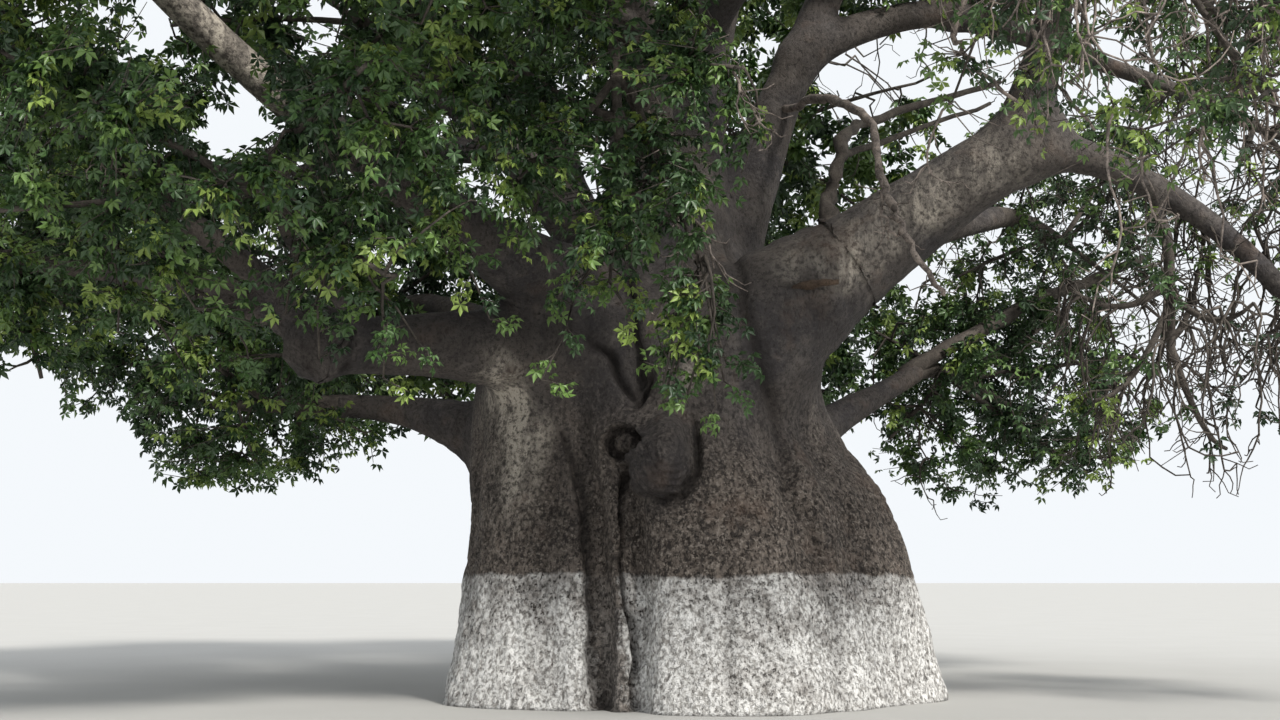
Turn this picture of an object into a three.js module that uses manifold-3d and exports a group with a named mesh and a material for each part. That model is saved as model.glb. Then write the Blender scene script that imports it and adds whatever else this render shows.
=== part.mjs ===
// A very old baobab: a swollen trunk of fused stems, its main boughs, and a mass of foliage on the tip
// of each. Millimetres, +Z up. The origin is the middle of the flat cut at ground level, and -Y is the
// side with the deep folds.
import * as THREE from "three";
import { mergeVertices } from "three/addons/utils/BufferGeometryUtils.js";
import Module from "manifold-3d";

const wasm = await Module();
wasm.setup();

// Driving dimensions. Lengths from here on are in metres, and PER_METRE turns them into millimetres at
// the very end. MEETING_GAP is what neighbouring solids leave between them.
const PER_METRE = 1000;
const MEETING_GAP = 0.0003;

// The trunk's outline: height, middle across, middle in depth, half width and half depth.
const TRUNK_STATIONS = [
  [0.0, 0.0, 0.0, 3.48, 3.4],
  [0.6, 0.0, 0.0, 3.34, 3.22],
  [1.7, 0.0, 0.0, 3.14, 3.0],
  [2.7, -0.14, 0.0, 2.96, 2.8],
  [3.4, -0.36, 0.05, 2.72, 2.58],
  [4.2, -0.57, 0.1, 2.5, 2.42],
  [4.8, -0.5, 0.1, 2.4, 2.3],
  [5.4, -0.42, 0.1, 1.85, 1.95],
  [6.0, -0.36, 0.1, 1.2, 1.4],
  [6.5, -0.3, 0.1, 0.8, 0.9],
];
const TRUNK_ROWS = 11;
const TRUNK_COLUMNS = 36;
const CLOSEST_COLUMNS = 3;

// Broad root lobes, strongest at the ground: how many go round, how far they stand out, and the turn of
// the first one.
const ROOT_LOBES = [
  { count: 5, stand: 0.14, turn: 0.5 },
  { count: 8, stand: 0.07, turn: 2.1 },
];
const ROOT_LOBE_FADE = 3.2;

// Folds between the fused stems: bearing in degrees and height of the lower end, the same of the upper
// end, half width in degrees, and depth. A fold that starts below the ground is open all the way down.
const FOLDS = [
  [-103, -1, -103, 3.4, 3.5, 0.3],
  [-112, -1, -116, 4.3, 3.5, 0.26],
  [-108, -1, -112, 4.8, 15, 0.24],
  [-61, -1, -56, 5.9, 6, 0.16],
  [-44, 0.4, -35, 4.2, 6, 0.1],
  [-86, 3.4, -125, 7.2, 6, 0.22],
  [-8, -1, 2, 4.6, 7, 0.14],
  [30, -1, 34, 5.2, 8, 0.3],
  [82, -1, 76, 4.8, 7, 0.24],
  [138, -1, 142, 5.0, 8, 0.28],
  [-160, -1, -156, 4.2, 6, 0.12],
];
const FOLD_END = 0.9;

// Healed scars on the front: a drooping swelling, and beside it the rim round a knot.
const SWELLING = { at: [-0.33, -2.34, 3.16], size: [0.38, 0.42, 0.46] };
const KNOT = { at: [-0.86, -2.4, 3.36], rim: 0.22, thick: 0.08 };

// Boughs from the trunk: name, root, tip, radius at each, how far the middle is lifted above the straight
// line between root and tip, and the share of the length that stays on the trunk as its collar.
const TRUNK_BOUGHS = [
  ["centre_leader", [-0.45, -0.1, 5.2], [0.75, 0.2, 12.2], [1.2, 0.38], 0, 0.33],
  ["second_leader", [0.1, 0.5, 5.4], [2.6, 1.3, 11.6], [0.85, 0.26], 0, 0.36],
  ["right_bough", [0.35, -0.95, 4.5], [4.6, -2.2, 7.4], [1.35, 0.48], 0.15, 0.4],
  ["left_bough", [-1.2, -1.0, 4.75], [-4.8, -2.65, 4.6], [0.95, 0.38], 0, 0.5],
  ["left_low_bough", [-1.7, 0.3, 3.0], [-5.2, 1.1, 4.2], [1.15, 0.18], 0.3, 0.47],
  ["left_high_bough", [-0.7, -0.6, 5.3], [-6.3, -5.7, 8.5], [0.85, 0.2], -0.5, 0.3],
  ["left_riser", [-0.6, 0.0, 5.6], [-4.0, 0.5, 9.2], [0.8, 0.2], 0.2, 0.36],
  ["back_left_riser", [-0.8, 0.6, 5.0], [-2.4, 3.2, 9.6], [0.85, 0.2], 0.2, 0.36],
  ["left_back_bough", [-0.8, 0.8, 4.2], [-4.4, 4.8, 6.4], [1.0, 0.22], 0.2, 0.42],
  ["back_bough", [-0.2, 1.0, 4.4], [0.9, 7.0, 7.2], [1.05, 0.22], 0.3, 0.36],
  ["right_back_high_bough", [0.1, 0.8, 4.9], [5.6, 4.4, 7.9], [0.95, 0.2], 0.3, 0.34],
  ["right_back_low_bough", [0.9, 1.0, 2.9], [3.9, 3.3, 5.0], [0.8, 0.17], 0.1, 0.52],
  ["front_bough", [-0.4, -0.4, 6.0], [-1.0, -5.0, 9.9], [0.8, 0.18], 0.5, 0.34],
];
const TRUNK_BOUGH_MESH = { sides: 9, steps: 5 };
const COLLAR_MESH = { sides: 9, steps: 2 };

// Boughs that fork from another: name, the bough it leaves and at what share of its length, tip, radius
// at root and tip, and how far the middle is lifted.
const FORKS = [
  ["right_riser", "right_bough", 0.95, [5.2, -2.4, 10.2], [0.44, 0.2], 0],
  ["right_drop", "right_bough", 0.93, [8.0, -2.3, 5.0], [0.34, 0.14], 0.65],
  ["right_hanger", "right_drop", 0.5, [6.3, -2.2, 5.95], [0.13, 0.08], 0],
  ["arch_rise", "second_leader", 0.68, [4.3, 1.2, 10.4], [0.3, 0.21], 0.25],
  ["arch_fall", "arch_rise", 0.97, [8.3, 1.4, 9.0], [0.21, 0.12], 0.1],
  ["front_right_bough", "right_riser", 0.55, [4.5, -5.0, 10.0], [0.2, 0.12], 0.3],
  ["left_far_bough", "left_bough", 0.92, [-7.4, -3.0, 5.5], [0.28, 0.17], 0.15],
  ["left_fork", "left_bough", 0.86, [-7.7, -3.9, 7.2], [0.24, 0.14], -0.1],
  ["left_front_fork", "left_bough", 0.8, [-4.8, -4.3, 5.7], [0.2, 0.12], 0],
  ["left_far_fork", "left_riser", 0.6, [-7.0, 1.6, 7.6], [0.24, 0.14], 0.25],
  ["back_riser", "back_bough", 0.62, [1.1, 5.3, 9.2], [0.3, 0.15], 0],
  ["front_left_fork", "front_bough", 0.62, [-2.5, -5.9, 8.9], [0.19, 0.12], 0.1],
  ["front_low_fork", "front_bough", 0.5, [-1.0, -3.9, 8.5], [0.15, 0.09], 0.15],
  ["top_left_fork", "centre_leader", 0.7, [-1.7, -2.3, 11.2], [0.28, 0.15], 0.1],
  ["top_front_fork", "centre_leader", 0.62, [1.9, -3.2, 10.8], [0.28, 0.15], 0.2],
];
const FORK_MESH = { sides: 6, steps: 3 };
const BOUGH_CROOK = 0.09;
const BOUGH_TAPER = 2.5;

// Masses of foliage: the bough that carries each, its middle, its reach along X, Y and Z, how far its
// sprays hang (weep, 0 to 1) and the share of them that is in leaf.
const MASSES = [
  ["centre_leader", [0.4, -0.5, 13.5], [3.0, 2.8, 2.0], 0.1, 1],
  ["second_leader", [3.7, 2.5, 12.4], [2.9, 2.9, 2.0], 0.1, 1],
  ["left_riser", [-5.1, 0.6, 10.7], [3.2, 3.0, 2.3], 0.1, 1],
  ["back_left_riser", [-2.9, 5.0, 11.1], [3.1, 2.9, 2.1], 0.1, 1],
  ["back_riser", [2.0, 6.8, 10.3], [3.0, 2.8, 2.2], 0.1, 1],
  ["right_riser", [6.1, -2.7, 11.2], [2.9, 2.7, 2.0], 0.2, 0.9],
  ["top_left_fork", [-2.9, -4.0, 12.1], [2.7, 2.6, 1.9], 0.1, 1],
  ["top_front_fork", [2.7, -5.2, 11.7], [2.6, 2.5, 1.9], 0.2, 1],
  ["arch_fall", [9.9, 1.9, 8.9], [2.9, 3.1, 2.4], 0.4, 0.7],
  ["right_back_high_bough", [7.4, 6.1, 8.1], [3.1, 2.9, 2.3], 0.2, 1],
  ["right_back_low_bough", [5.7, 4.5, 4.9], [2.7, 2.3, 1.95], 0.3, 1],
  ["back_bough", [1.5, 9.3, 6.8], [3.5, 2.9, 2.4], 0.2, 1],
  ["left_back_bough", [-5.9, 6.8, 6.8], [3.4, 3.0, 2.5], 0.2, 1],
  ["left_far_fork", [-9.5, 2.8, 7.8], [3.1, 3.0, 2.3], 0.2, 1],
  ["left_low_bough", [-7.3, 1.7, 4.5], [2.9, 2.5, 1.5], 0.3, 1],
  ["left_far_bough", [-9.8, -2.8, 5.7], [2.8, 2.6, 1.9], 0.3, 1],
  ["left_fork", [-9.4, -4.9, 9.0], [2.7, 2.6, 2.0], 0.2, 1],
  ["left_high_bough", [-6.6, -7.6, 9.6], [2.8, 2.6, 2.1], 0.2, 1],
  ["left_front_fork", [-5.0, -5.9, 6.3], [3.0, 2.2, 1.8], 0.3, 1],
  ["front_left_fork", [-3.1, -8.1, 8.9], [2.2, 2.5, 1.9], 0.2, 1],
  ["front_bough", [-0.2, -7.4, 10.6], [2.5, 2.8, 2.0], 0.2, 1],
  ["front_low_fork", [-0.9, -4.7, 6.9], [1.8, 1.5, 2.0], 0.5, 0.9],
  ["front_right_bough", [4.7, -7.1, 8.5], [3.1, 2.8, 2.8], 0.7, 0.55],
  ["right_drop", [9.3, -2.6, 4.9], [2.5, 2.5, 2.2], 0.8, 0.4],
  ["right_hanger", [6.3, -2.1, 4.7], [1.5, 1.5, 1.7], 0.9, 0.25],
];
const SPACE_MARGIN = 0.035;
const LIMB_CLEARANCE = 0.08;

// The stem of a mass: how soon it bends, and how far below the middle, as a share of the reach, it ends.
const STEM = { bend: 0.35, drop: 0.15, sides: 5, steps: 2 };

// Its twigs: how many, their radius at root and tip, the stretch of the stem they leave from, the shares of
// the reach tried for their tips, how far they arch, and how much of that they lose as the mass weeps.
const TWIG = { count: 6, girth: [0.055, 0.025], from: 0.35, to: 0.95, arch: 0.15, sag: 0.5 };
const TWIG_SPANS = [0.98, 0.8, 0.6];

// Its sprays of leaves: where the side ones leave a twig, how far they fan out, and their size. The part
// called sunk lies inside the twig, and a bare spray is as thick as its stalk.
const SPRAY = { places: [0.34, 0.6], fan: 0.9, length: 1.9, width: 1.35, thick: 0.08, widest: 0.45 };
const SPRAY_ROOT = { sunk: 0.09, stalk: 0.025 };
const LONGEST_END_SPRAY = 0.6;
const BARE_TWIG_NECK = 0.9;

// Surface colours, as seen in open shade.
const BARK = { color: 0x6f6560, roughness: 0.9, metalness: 0 };
const FOLIAGE = { color: 0x3f6b2a, roughness: 0.7, metalness: 0 };

const UP = new THREE.Vector3(0, 0, 1);
const GOLDEN_ANGLE = Math.PI * (3 - Math.sqrt(5));

const vector = (values) => new THREE.Vector3(...values);
const along = (point, direction, distance) => point.clone().addScaledVector(direction, distance);

// Repeatable random numbers from 0 to 1.
function seededRandom(seed) {
  let state = seed >>> 0;
  return () => {
    state = (state + 0x6d2b79f5) >>> 0;
    let mixed = Math.imul(state ^ (state >>> 15), state | 1);
    mixed ^= mixed + Math.imul(mixed ^ (mixed >>> 7), mixed | 61);
    return ((mixed ^ (mixed >>> 14)) >>> 0) / 4294967296;
  };
}

// A closed geometry as a solid that can be joined and cut.
function toSolid(geometry) {
  const bare = new THREE.BufferGeometry().setAttribute("position", geometry.getAttribute("position"));
  const merged = mergeVertices(bare.setIndex(geometry.index), 1e-6);
  return new wasm.Manifold(
    new wasm.Mesh({
      numProp: 3,
      vertProperties: merged.attributes.position.array,
      triVerts: new Uint32Array(merged.index.array),
    }),
  );
}

function toGeometry(solid) {
  const mesh = solid.getMesh();
  const positions = mesh.vertProperties.map((value) => value * PER_METRE);
  const geometry = new THREE.BufferGeometry();
  geometry.setAttribute("position", new THREE.BufferAttribute(positions, 3));
  geometry.setIndex(new THREE.BufferAttribute(new Uint32Array(mesh.triVerts), 1));
  geometry.computeVertexNormals();
  return geometry;
}

// The largest connected piece: a scrap that touches nothing is dropped.
function largestPiece(solid) {
  return solid.decompose().reduce((best, piece) => (piece.volume() > best.volume() ? piece : best));
}

function middleOf(ring) {
  return ring.reduce((sum, point) => sum.add(point), new THREE.Vector3()).divideScalar(ring.length);
}

// A solid through closed rings of points, counted round the way of travel. A fan from foot shuts its
// first ring, and a fan to tip shuts its last.
function ringsSolid(rings, foot = middleOf(rings[0]), tip = middleOf(rings[rings.length - 1])) {
  const sides = rings[0].length;
  const points = [...rings.flat(), foot, tip];
  const index = [];
  for (let i = 0; i < sides; i++) {
    const next = (i + 1) % sides;
    for (let row = 0; row + 1 < rings.length; row++) {
      const low = row * sides;
      const high = low + sides;
      index.push(low + i, low + next, high + next, low + i, high + next, high + i);
    }
    const top = (rings.length - 1) * sides;
    index.push(points.length - 2, next, i, points.length - 1, top + i, top + next);
  }
  return toSolid(new THREE.BufferGeometry().setFromPoints(points).setIndex(index));
}

// A limb is a curved, tapering round rod. Its middle line leaves the straight line from root to tip by
// rise, upwards, and crook, sideways.
function makeLimb({ root, tip, girth, rise = 0, crook = 0, taper = BOUGH_TAPER, roll = 0 }) {
  const chord = tip.clone().sub(root);
  const heading = chord.clone().normalize();
  const side = new THREE.Vector3(chord.y, -chord.x, 0);
  if (side.length() < 0.05 * chord.length()) {
    side.set(1, 0, 0);
  }
  side.normalize();
  const pointAt = (t) => {
    const straight = along(root, chord, t).addScaledVector(UP, rise * 4 * t * (1 - t));
    return straight.addScaledVector(side, crook * Math.sin(3 * Math.PI * t));
  };
  return {
    pointAt,
    tangentAt: (t) => pointAt(t + 0.005).sub(pointAt(t - 0.005)).normalize(),
    radiusAt: (t) => girth[1] + (girth[0] - girth[1]) * Math.max(0, 1 - t) ** taper,
    side: side.clone().applyAxisAngle(heading, roll),
    length: chord.length(),
  };
}

// The two directions across a limb at a share of its length.
function limbFrame(limb, t) {
  const onward = limb.tangentAt(t);
  const across = along(limb.side, onward, -limb.side.dot(onward)).normalize();
  return { onward, across, over: onward.clone().cross(across) };
}

function limbRing(limb, t, sides, grow = 0) {
  const { across, over } = limbFrame(limb, t);
  const radius = limb.radiusAt(t) + grow;
  return Array.from({ length: sides }, (_, i) => {
    const turn = (2 * Math.PI * i) / sides;
    return along(along(limb.pointAt(t), across, radius * Math.cos(turn)), over, radius * Math.sin(turn));
  });
}

function limbSolid(limb, { sides, steps }, from = 0, to = 1, grow = 0) {
  const shares = Array.from({ length: steps + 1 }, (_, step) => from + ((to - from) * step) / steps);
  return ringsSolid(shares.map((t) => limbRing(limb, t, sides, grow)));
}

// The trunk's station at any height: a smooth curve through the listed ones.
function trunkStation(height) {
  const last = TRUNK_STATIONS.length - 1;
  const row = Math.min(last - 1, TRUNK_STATIONS.filter(([z]) => z <= height).length - 1);
  const near = [row - 1, row, row + 1, row + 2].map((i) => TRUNK_STATIONS[Math.min(last, Math.max(0, i))]);
  const t = (height - near[1][0]) / (near[2][0] - near[1][0]);
  return near[1].map((value, i) => {
    const step = near[2][i] - value;
    const slopeIn = (near[2][i] - near[0][i]) / 2;
    const slopeOut = (near[3][i] - value) / 2;
    const bow = 3 * step - 2 * slopeIn - slopeOut;
    const twist = slopeIn + slopeOut - 2 * step;
    return value + slopeIn * t + bow * t ** 2 + twist * t ** 3;
  });
}

// How far the surface stands out (lobes) or in (folds) at a bearing in degrees and a height.
function trunkRelief(bearing, height) {
  const lobes = ROOT_LOBES.map(({ count, stand, turn }) => {
    const wave = Math.cos(count * THREE.MathUtils.degToRad(bearing) + turn);
    return stand * Math.exp(-height / ROOT_LOBE_FADE) * wave;
  });
  const folds = FOLDS.map(([lowBearing, low, highBearing, high, spread, depth]) => {
    const middle = THREE.MathUtils.mapLinear(height, low, high, lowBearing, highBearing);
    const away = THREE.MathUtils.euclideanModulo(bearing - middle + 180, 360) - 180;
    const open = THREE.MathUtils.smoothstep(height, low, low + FOLD_END);
    const shut = THREE.MathUtils.smoothstep(height, high - FOLD_END, high);
    return -depth * open * (1 - shut) * Math.exp(-((away / spread) ** 2));
  });
  return [...lobes, ...folds].reduce((sum, relief) => sum + relief, 0);
}

function trunkPoint(bearing, height, grow) {
  const [, x, y, halfWidth, halfDepth] = trunkStation(height);
  const relief = trunkRelief(bearing, height) + grow;
  const angle = THREE.MathUtils.degToRad(bearing);
  return new THREE.Vector3(
    x + (halfWidth + relief) * Math.cos(angle),
    y + (halfDepth + relief) * Math.sin(angle),
    height,
  );
}

// Bearings round the trunk: one on the floor and each lip of every fold, and even ones between.
function trunkBearings() {
  const folds = FOLDS.flatMap(([lowBearing, , highBearing, , spread]) => {
    const middle = (lowBearing + highBearing) / 2;
    return [middle - spread, middle, middle + spread];
  });
  const even = Array.from({ length: TRUNK_COLUMNS }, (_, i) => (360 * i) / TRUNK_COLUMNS);
  const all = [...folds, ...even].map((bearing) => THREE.MathUtils.euclideanModulo(bearing, 360));
  const isClear = (value) => (other) => Math.abs(other - value) >= CLOSEST_COLUMNS;
  return all.filter((value, i) => all.slice(0, i).every(isClear(value))).sort((a, b) => a - b);
}

function trunkBody(grow) {
  const top = TRUNK_STATIONS[TRUNK_STATIONS.length - 1][0];
  const bearings = trunkBearings();
  const heights = Array.from({ length: TRUNK_ROWS + 1 }, (_, row) => (top * row) / TRUNK_ROWS);
  return ringsSolid(heights.map((height) => bearings.map((bearing) => trunkPoint(bearing, height, grow))));
}

function scarSolids(grow) {
  const swelling = new THREE.SphereGeometry(1, 10, 8).rotateX(Math.PI / 2);
  swelling.scale(...SWELLING.size.map((size) => size + grow)).translate(...SWELLING.at);
  const knot = new THREE.TorusGeometry(KNOT.rim, KNOT.thick + grow, 5, 11).rotateX(Math.PI / 2);
  knot.translate(...KNOT.at);
  return [toSolid(swelling), toSolid(knot)];
}

const boughs = new Map();
for (const [name, root, tip, girth, rise, collar] of TRUNK_BOUGHS) {
  const limb = makeLimb({ root: vector(root), tip: vector(tip), girth, rise, crook: BOUGH_CROOK });
  boughs.set(name, { limb, mesh: TRUNK_BOUGH_MESH, from: collar + MEETING_GAP / limb.length, collar });
}
for (const [name, parent, share, tip, girth, rise] of FORKS) {
  const root = boughs.get(parent).limb.pointAt(share);
  const limb = makeLimb({ root, tip: vector(tip), girth, rise, crook: BOUGH_CROOK / 2 });
  boughs.set(name, { limb, mesh: FORK_MESH, from: 0, collar: 0 });
}

function trunkSolid(grow) {
  const rooted = [...boughs.values()].filter(({ collar }) => collar > 0);
  const collars = rooted.map(({ limb, collar }) => limbSolid(limb, COLLAR_MESH, 0, collar, grow));
  return [...scarSolids(grow), ...collars].reduce((sum, solid) => sum.add(solid), trunkBody(grow));
}

// Each bough is cut clear of the trunk and of the boughs made before it.
function boughSolids() {
  const solids = new Map();
  let taken = trunkSolid(MEETING_GAP);
  for (const [name, { limb, mesh, from }] of boughs) {
    solids.set(name, largestPiece(limbSolid(limb, mesh, from).subtract(taken)));
    const margin = MEETING_GAP / limb.length;
    taken = taken.add(limbSolid(limb, mesh, from - margin, 1 + margin, MEETING_GAP));
  }
  return solids;
}

const masses = MASSES.map(([bough, middle, reach, weep, inLeaf], i) => {
  const { limb } = boughs.get(bough);
  const mass = { bough, middle: vector(middle), reach: vector(reach), weep, inLeaf, seed: i + 1 };
  return { ...mass, stem: makeStem(limb, mass) };
});

// The stem leaves its bough's tip along the bough's own line and bends to the heart of the mass.
function makeStem(limb, { middle, reach }) {
  const start = along(limb.pointAt(1), limb.tangentAt(1), MEETING_GAP);
  const heart = along(middle, UP, -STEM.drop * reach.z);
  const bend = along(start, limb.tangentAt(1), STEM.bend * start.distanceTo(middle));
  const curve = new THREE.QuadraticBezierCurve3(start, bend, heart);
  return {
    pointAt: (t) => curve.getPoint(t),
    tangentAt: (t) => curve.getTangent(t),
    radiusAt: (t) => THREE.MathUtils.lerp(limb.radiusAt(1), TWIG.girth[0], t),
    side: limb.side,
    length: curve.getLength(),
  };
}

// How far a point is from a mass's middle, as a share of the mass's reach.
function shareOfReach(point, { middle, reach }) {
  return point.clone().sub(middle).divide(reach).length();
}

// Every mass keeps to its own space: inside its reach, and nearer to its own middle than to any other.
function inOwnSpace(point, mass) {
  const own = shareOfReach(point, mass);
  const others = masses.filter((other) => other !== mass);
  return own <= 1 && others.every((other) => own < shareOfReach(point, other) - SPACE_MARGIN);
}

// The widest section of a spray in leaf: two edges and a low ridge between them.
function bladeRing(middle, across, over, length) {
  const half = (0.5 * SPRAY.width * length) / SPRAY.length;
  return [along(middle, across, half), along(middle, over, SPRAY.thick), along(middle, across, -half)];
}

function needleRing(middle, across, over) {
  return [0, 1, 2].map((corner) => {
    const turn = (2 * Math.PI * corner) / 3;
    const out = across.clone().multiplyScalar(Math.cos(turn)).addScaledVector(over, Math.sin(turn));
    return along(middle, out, SPRAY_ROOT.stalk);
  });
}

// A spray that leaves a twig: one thin blade when in leaf, and a bare needle of wood when not.
function spraySolid({ root, direction, across, length, leafy }) {
  const over = direction.clone().cross(across);
  const foot = along(root, direction, -SPRAY_ROOT.sunk);
  const tip = along(root, direction, length);
  const ring = leafy
    ? bladeRing(along(root, direction, SPRAY.widest * length), across, over, length)
    : needleRing(root, across, over);
  return { solid: ringsSolid([ring], foot, tip), marks: [tip, ...ring] };
}

// A twig is three-sided. When in leaf it ends in a spray of its own.
function twigSolid(limb, leafy, from = 0) {
  const neck = leafy ? 1 - Math.min(LONGEST_END_SPRAY, SPRAY.length / limb.length) : BARE_TWIG_NECK;
  const rings = [from, (from + neck) / 2, neck].map((t) => limbRing(limb, t, 3));
  const tip = limb.pointAt(1);
  if (leafy) {
    const widest = neck + (1 - neck) * SPRAY.widest;
    const { across, over } = limbFrame(limb, widest);
    rings.push(bladeRing(limb.pointAt(widest), across, over, (1 - neck) * limb.length));
  }
  return { solid: ringsSolid(rings, undefined, tip), marks: [tip, ...rings.slice(1).flat()] };
}

// Twigs leave the stem in turn towards evenly spread points of the mass's outline.
function* twigLines(mass, random) {
  for (let i = 0; i < TWIG.count; i++) {
    const level = 1 - (2 * (i + 0.5)) / TWIG.count;
    const turn = i * GOLDEN_ANGLE + random();
    const round = Math.sqrt(1 - level * level);
    const heading = new THREE.Vector3(round * Math.cos(turn), round * Math.sin(turn), level);
    const outward = heading.multiply(mass.reach);
    const root = mass.stem.pointAt(THREE.MathUtils.lerp(TWIG.from, TWIG.to, random()));
    const roll = random() - 0.5;
    const leafy = random() < mass.inLeaf;
    const rise = TWIG.arch - TWIG.sag * mass.weep;
    yield TWIG_SPANS.map((span) => {
      const tip = along(mass.middle, outward, span);
      return { limb: makeLimb({ root, tip, rise, girth: TWIG.girth, taper: 1, roll }), leafy };
    });
  }
}

// Sprays leave a twig to either side in turn, and hang as far as the mass weeps.
function* sideSprays(twig, mass, random) {
  for (const [j, place] of SPRAY.places.entries()) {
    const { onward, across: sideways } = limbFrame(twig.limb, place);
    const hand = j % 2 === 0 ? 1 : -1;
    const outward = along(onward, sideways, hand * SPRAY.fan * (1 + 0.4 * random()));
    outward.addScaledVector(UP, random() - 0.5).normalize();
    const direction = outward.multiplyScalar(1 - mass.weep).addScaledVector(UP, -mass.weep).normalize();
    const level = direction.clone().cross(UP).addScaledVector(UP, 0.6 * (random() - 0.5));
    const across = along(level, direction, -level.dot(direction)).normalize();
    const length = SPRAY.length * (0.85 + 0.3 * random());
    yield { root: twig.limb.pointAt(place), direction, across, length, leafy: random() < mass.inLeaf };
  }
}

function massSolid(mass, wood) {
  const random = seededRandom(mass.seed);
  const others = masses.filter((other) => other !== mass);
  const obstacles = [wood, ...others.map(({ stem }) => stemSolid(stem, LIMB_CLEARANCE))];
  const fits = ({ solid, marks }) =>
    marks.every((point) => inOwnSpace(point, mass)) &&
    obstacles.every((obstacle) => obstacle.intersect(solid).isEmpty());
  const parts = [stemSolid(mass.stem, 0)];
  for (const choices of twigLines(mass, random)) {
    const twig = choices.find(({ limb, leafy }) => fits(twigSolid(limb, leafy, 0.2)));
    const sprays = [...sideSprays(twig ?? choices[0], mass, random)];
    if (twig) {
      parts.push(twigSolid(twig.limb, twig.leafy).solid);
      const kept = sprays.map(spraySolid).filter(fits);
      parts.push(...kept.map(({ solid }) => solid));
    }
  }
  return largestPiece(parts.reduce((sum, part) => sum.add(part)));
}

function stemSolid(stem, grow) {
  return limbSolid(stem, STEM, 0, 1, grow);
}

// The trunk and boughs grown by the clearance that twigs and sprays keep from them.
function clearanceWood() {
  const limbs = [...boughs.values()].map(({ limb, mesh }) => limbSolid(limb, mesh, 0, 1, LIMB_CLEARANCE));
  return limbs.reduce((sum, solid) => sum.add(solid), trunkBody(LIMB_CLEARANCE));
}

function namedMesh(name, solid, finish) {
  const mesh = new THREE.Mesh(toGeometry(solid), new THREE.MeshStandardMaterial(finish));
  mesh.name = name;
  return mesh;
}

const baobab = new THREE.Group();
baobab.add(namedMesh("trunk", trunkSolid(0), BARK));
for (const [name, solid] of boughSolids()) {
  baobab.add(namedMesh(name, solid, BARK));
}
const wood = clearanceWood();
for (const mass of masses) {
  baobab.add(namedMesh(`foliage_of_${mass.bough}`, massSolid(mass, wood), FOLIAGE));
}

export default baobab;
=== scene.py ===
"""A very old baobab with a limewashed foot, its boughs, twigs and leaves. Metres, +Z up, -Y to the front."""

import math

import bmesh
import bpy
import numpy as np
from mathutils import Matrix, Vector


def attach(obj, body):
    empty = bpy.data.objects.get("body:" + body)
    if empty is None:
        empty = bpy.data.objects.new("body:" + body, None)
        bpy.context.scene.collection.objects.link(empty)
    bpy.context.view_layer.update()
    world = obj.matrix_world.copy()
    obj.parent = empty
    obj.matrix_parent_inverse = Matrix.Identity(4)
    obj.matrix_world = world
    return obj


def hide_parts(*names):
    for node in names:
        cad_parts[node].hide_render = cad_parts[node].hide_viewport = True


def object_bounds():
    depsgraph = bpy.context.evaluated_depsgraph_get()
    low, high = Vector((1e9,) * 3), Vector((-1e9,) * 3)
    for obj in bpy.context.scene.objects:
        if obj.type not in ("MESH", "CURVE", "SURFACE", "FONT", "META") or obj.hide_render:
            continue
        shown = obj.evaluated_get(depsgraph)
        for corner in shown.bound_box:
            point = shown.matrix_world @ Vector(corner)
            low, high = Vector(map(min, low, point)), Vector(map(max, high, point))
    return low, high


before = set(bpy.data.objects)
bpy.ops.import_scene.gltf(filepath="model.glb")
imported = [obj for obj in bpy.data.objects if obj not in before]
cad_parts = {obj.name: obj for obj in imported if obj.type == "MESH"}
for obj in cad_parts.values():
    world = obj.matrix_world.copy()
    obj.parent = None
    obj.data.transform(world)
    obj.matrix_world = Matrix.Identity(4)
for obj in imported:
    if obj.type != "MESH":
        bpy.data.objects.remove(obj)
CAD_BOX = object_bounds()

# The view: where the eye stands, how far it looks up, and the lens on a 36 mm wide picture.
EYE = (-0.66, -22.1, 1.64)
LOOK_UP = math.radians(8.02)
LENS = 43.31
SENSOR_WIDTH = 36.0

# The trunk's outline: height, middle across, middle in depth, half width and half depth. Its grid has this
# many rows and columns.
TRUNK_STATIONS = [
    [0.0, 0.0, 0.0, 3.48, 3.4],
    [0.6, 0.0, 0.0, 3.34, 3.22],
    [1.7, -0.06, 0.0, 3.14, 3.0],
    [2.7, -0.2, 0.0, 2.95, 2.8],
    [3.4, -0.43, 0.05, 2.7, 2.58],
    [4.2, -0.57, 0.1, 2.5, 2.42],
    [4.8, -0.5, 0.1, 2.4, 2.3],
    [5.4, -0.42, 0.1, 1.85, 1.95],
    [6.0, -0.36, 0.1, 1.2, 1.4],
    [6.5, -0.3, 0.1, 0.8, 0.9],
]
TRUNK_TOP = TRUNK_STATIONS[-1][0]
TRUNK_GRID = (130, 400)

# Root lobes: how many go round, how far they stand out, and the turn of the first one. They fade as they
# rise, over this height.
ROOT_LOBES = [(5, 0.14, 0.5), (8, 0.07, 2.1)]
ROOT_LOBE_FADE = 3.2

# Folds between the fused stems: bearing and height of the lower end, the same of the upper end, half
# width in degrees, and depth. Each end tapers over a length.
FOLDS = [
    (-103, -1, -103, 3.4, 3.5, 0.3),
    (-112, -1, -116, 4.3, 3.5, 0.26),
    (-108, -1, -112, 4.8, 15, 0.24),
    (-61, -1, -56, 5.9, 6, 0.16),
    (-44, 0.4, -35, 4.2, 6, 0.1),
    (-86, 3.4, -125, 7.2, 6, 0.22),
    (-8, -1, 2, 4.6, 7, 0.14),
    (30, -1, 34, 5.2, 8, 0.3),
    (82, -1, 76, 4.8, 7, 0.24),
    (138, -1, 142, 5.0, 8, 0.28),
    (-160, -1, -156, 4.2, 6, 0.12),
]
FOLD_END = 0.9

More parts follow.
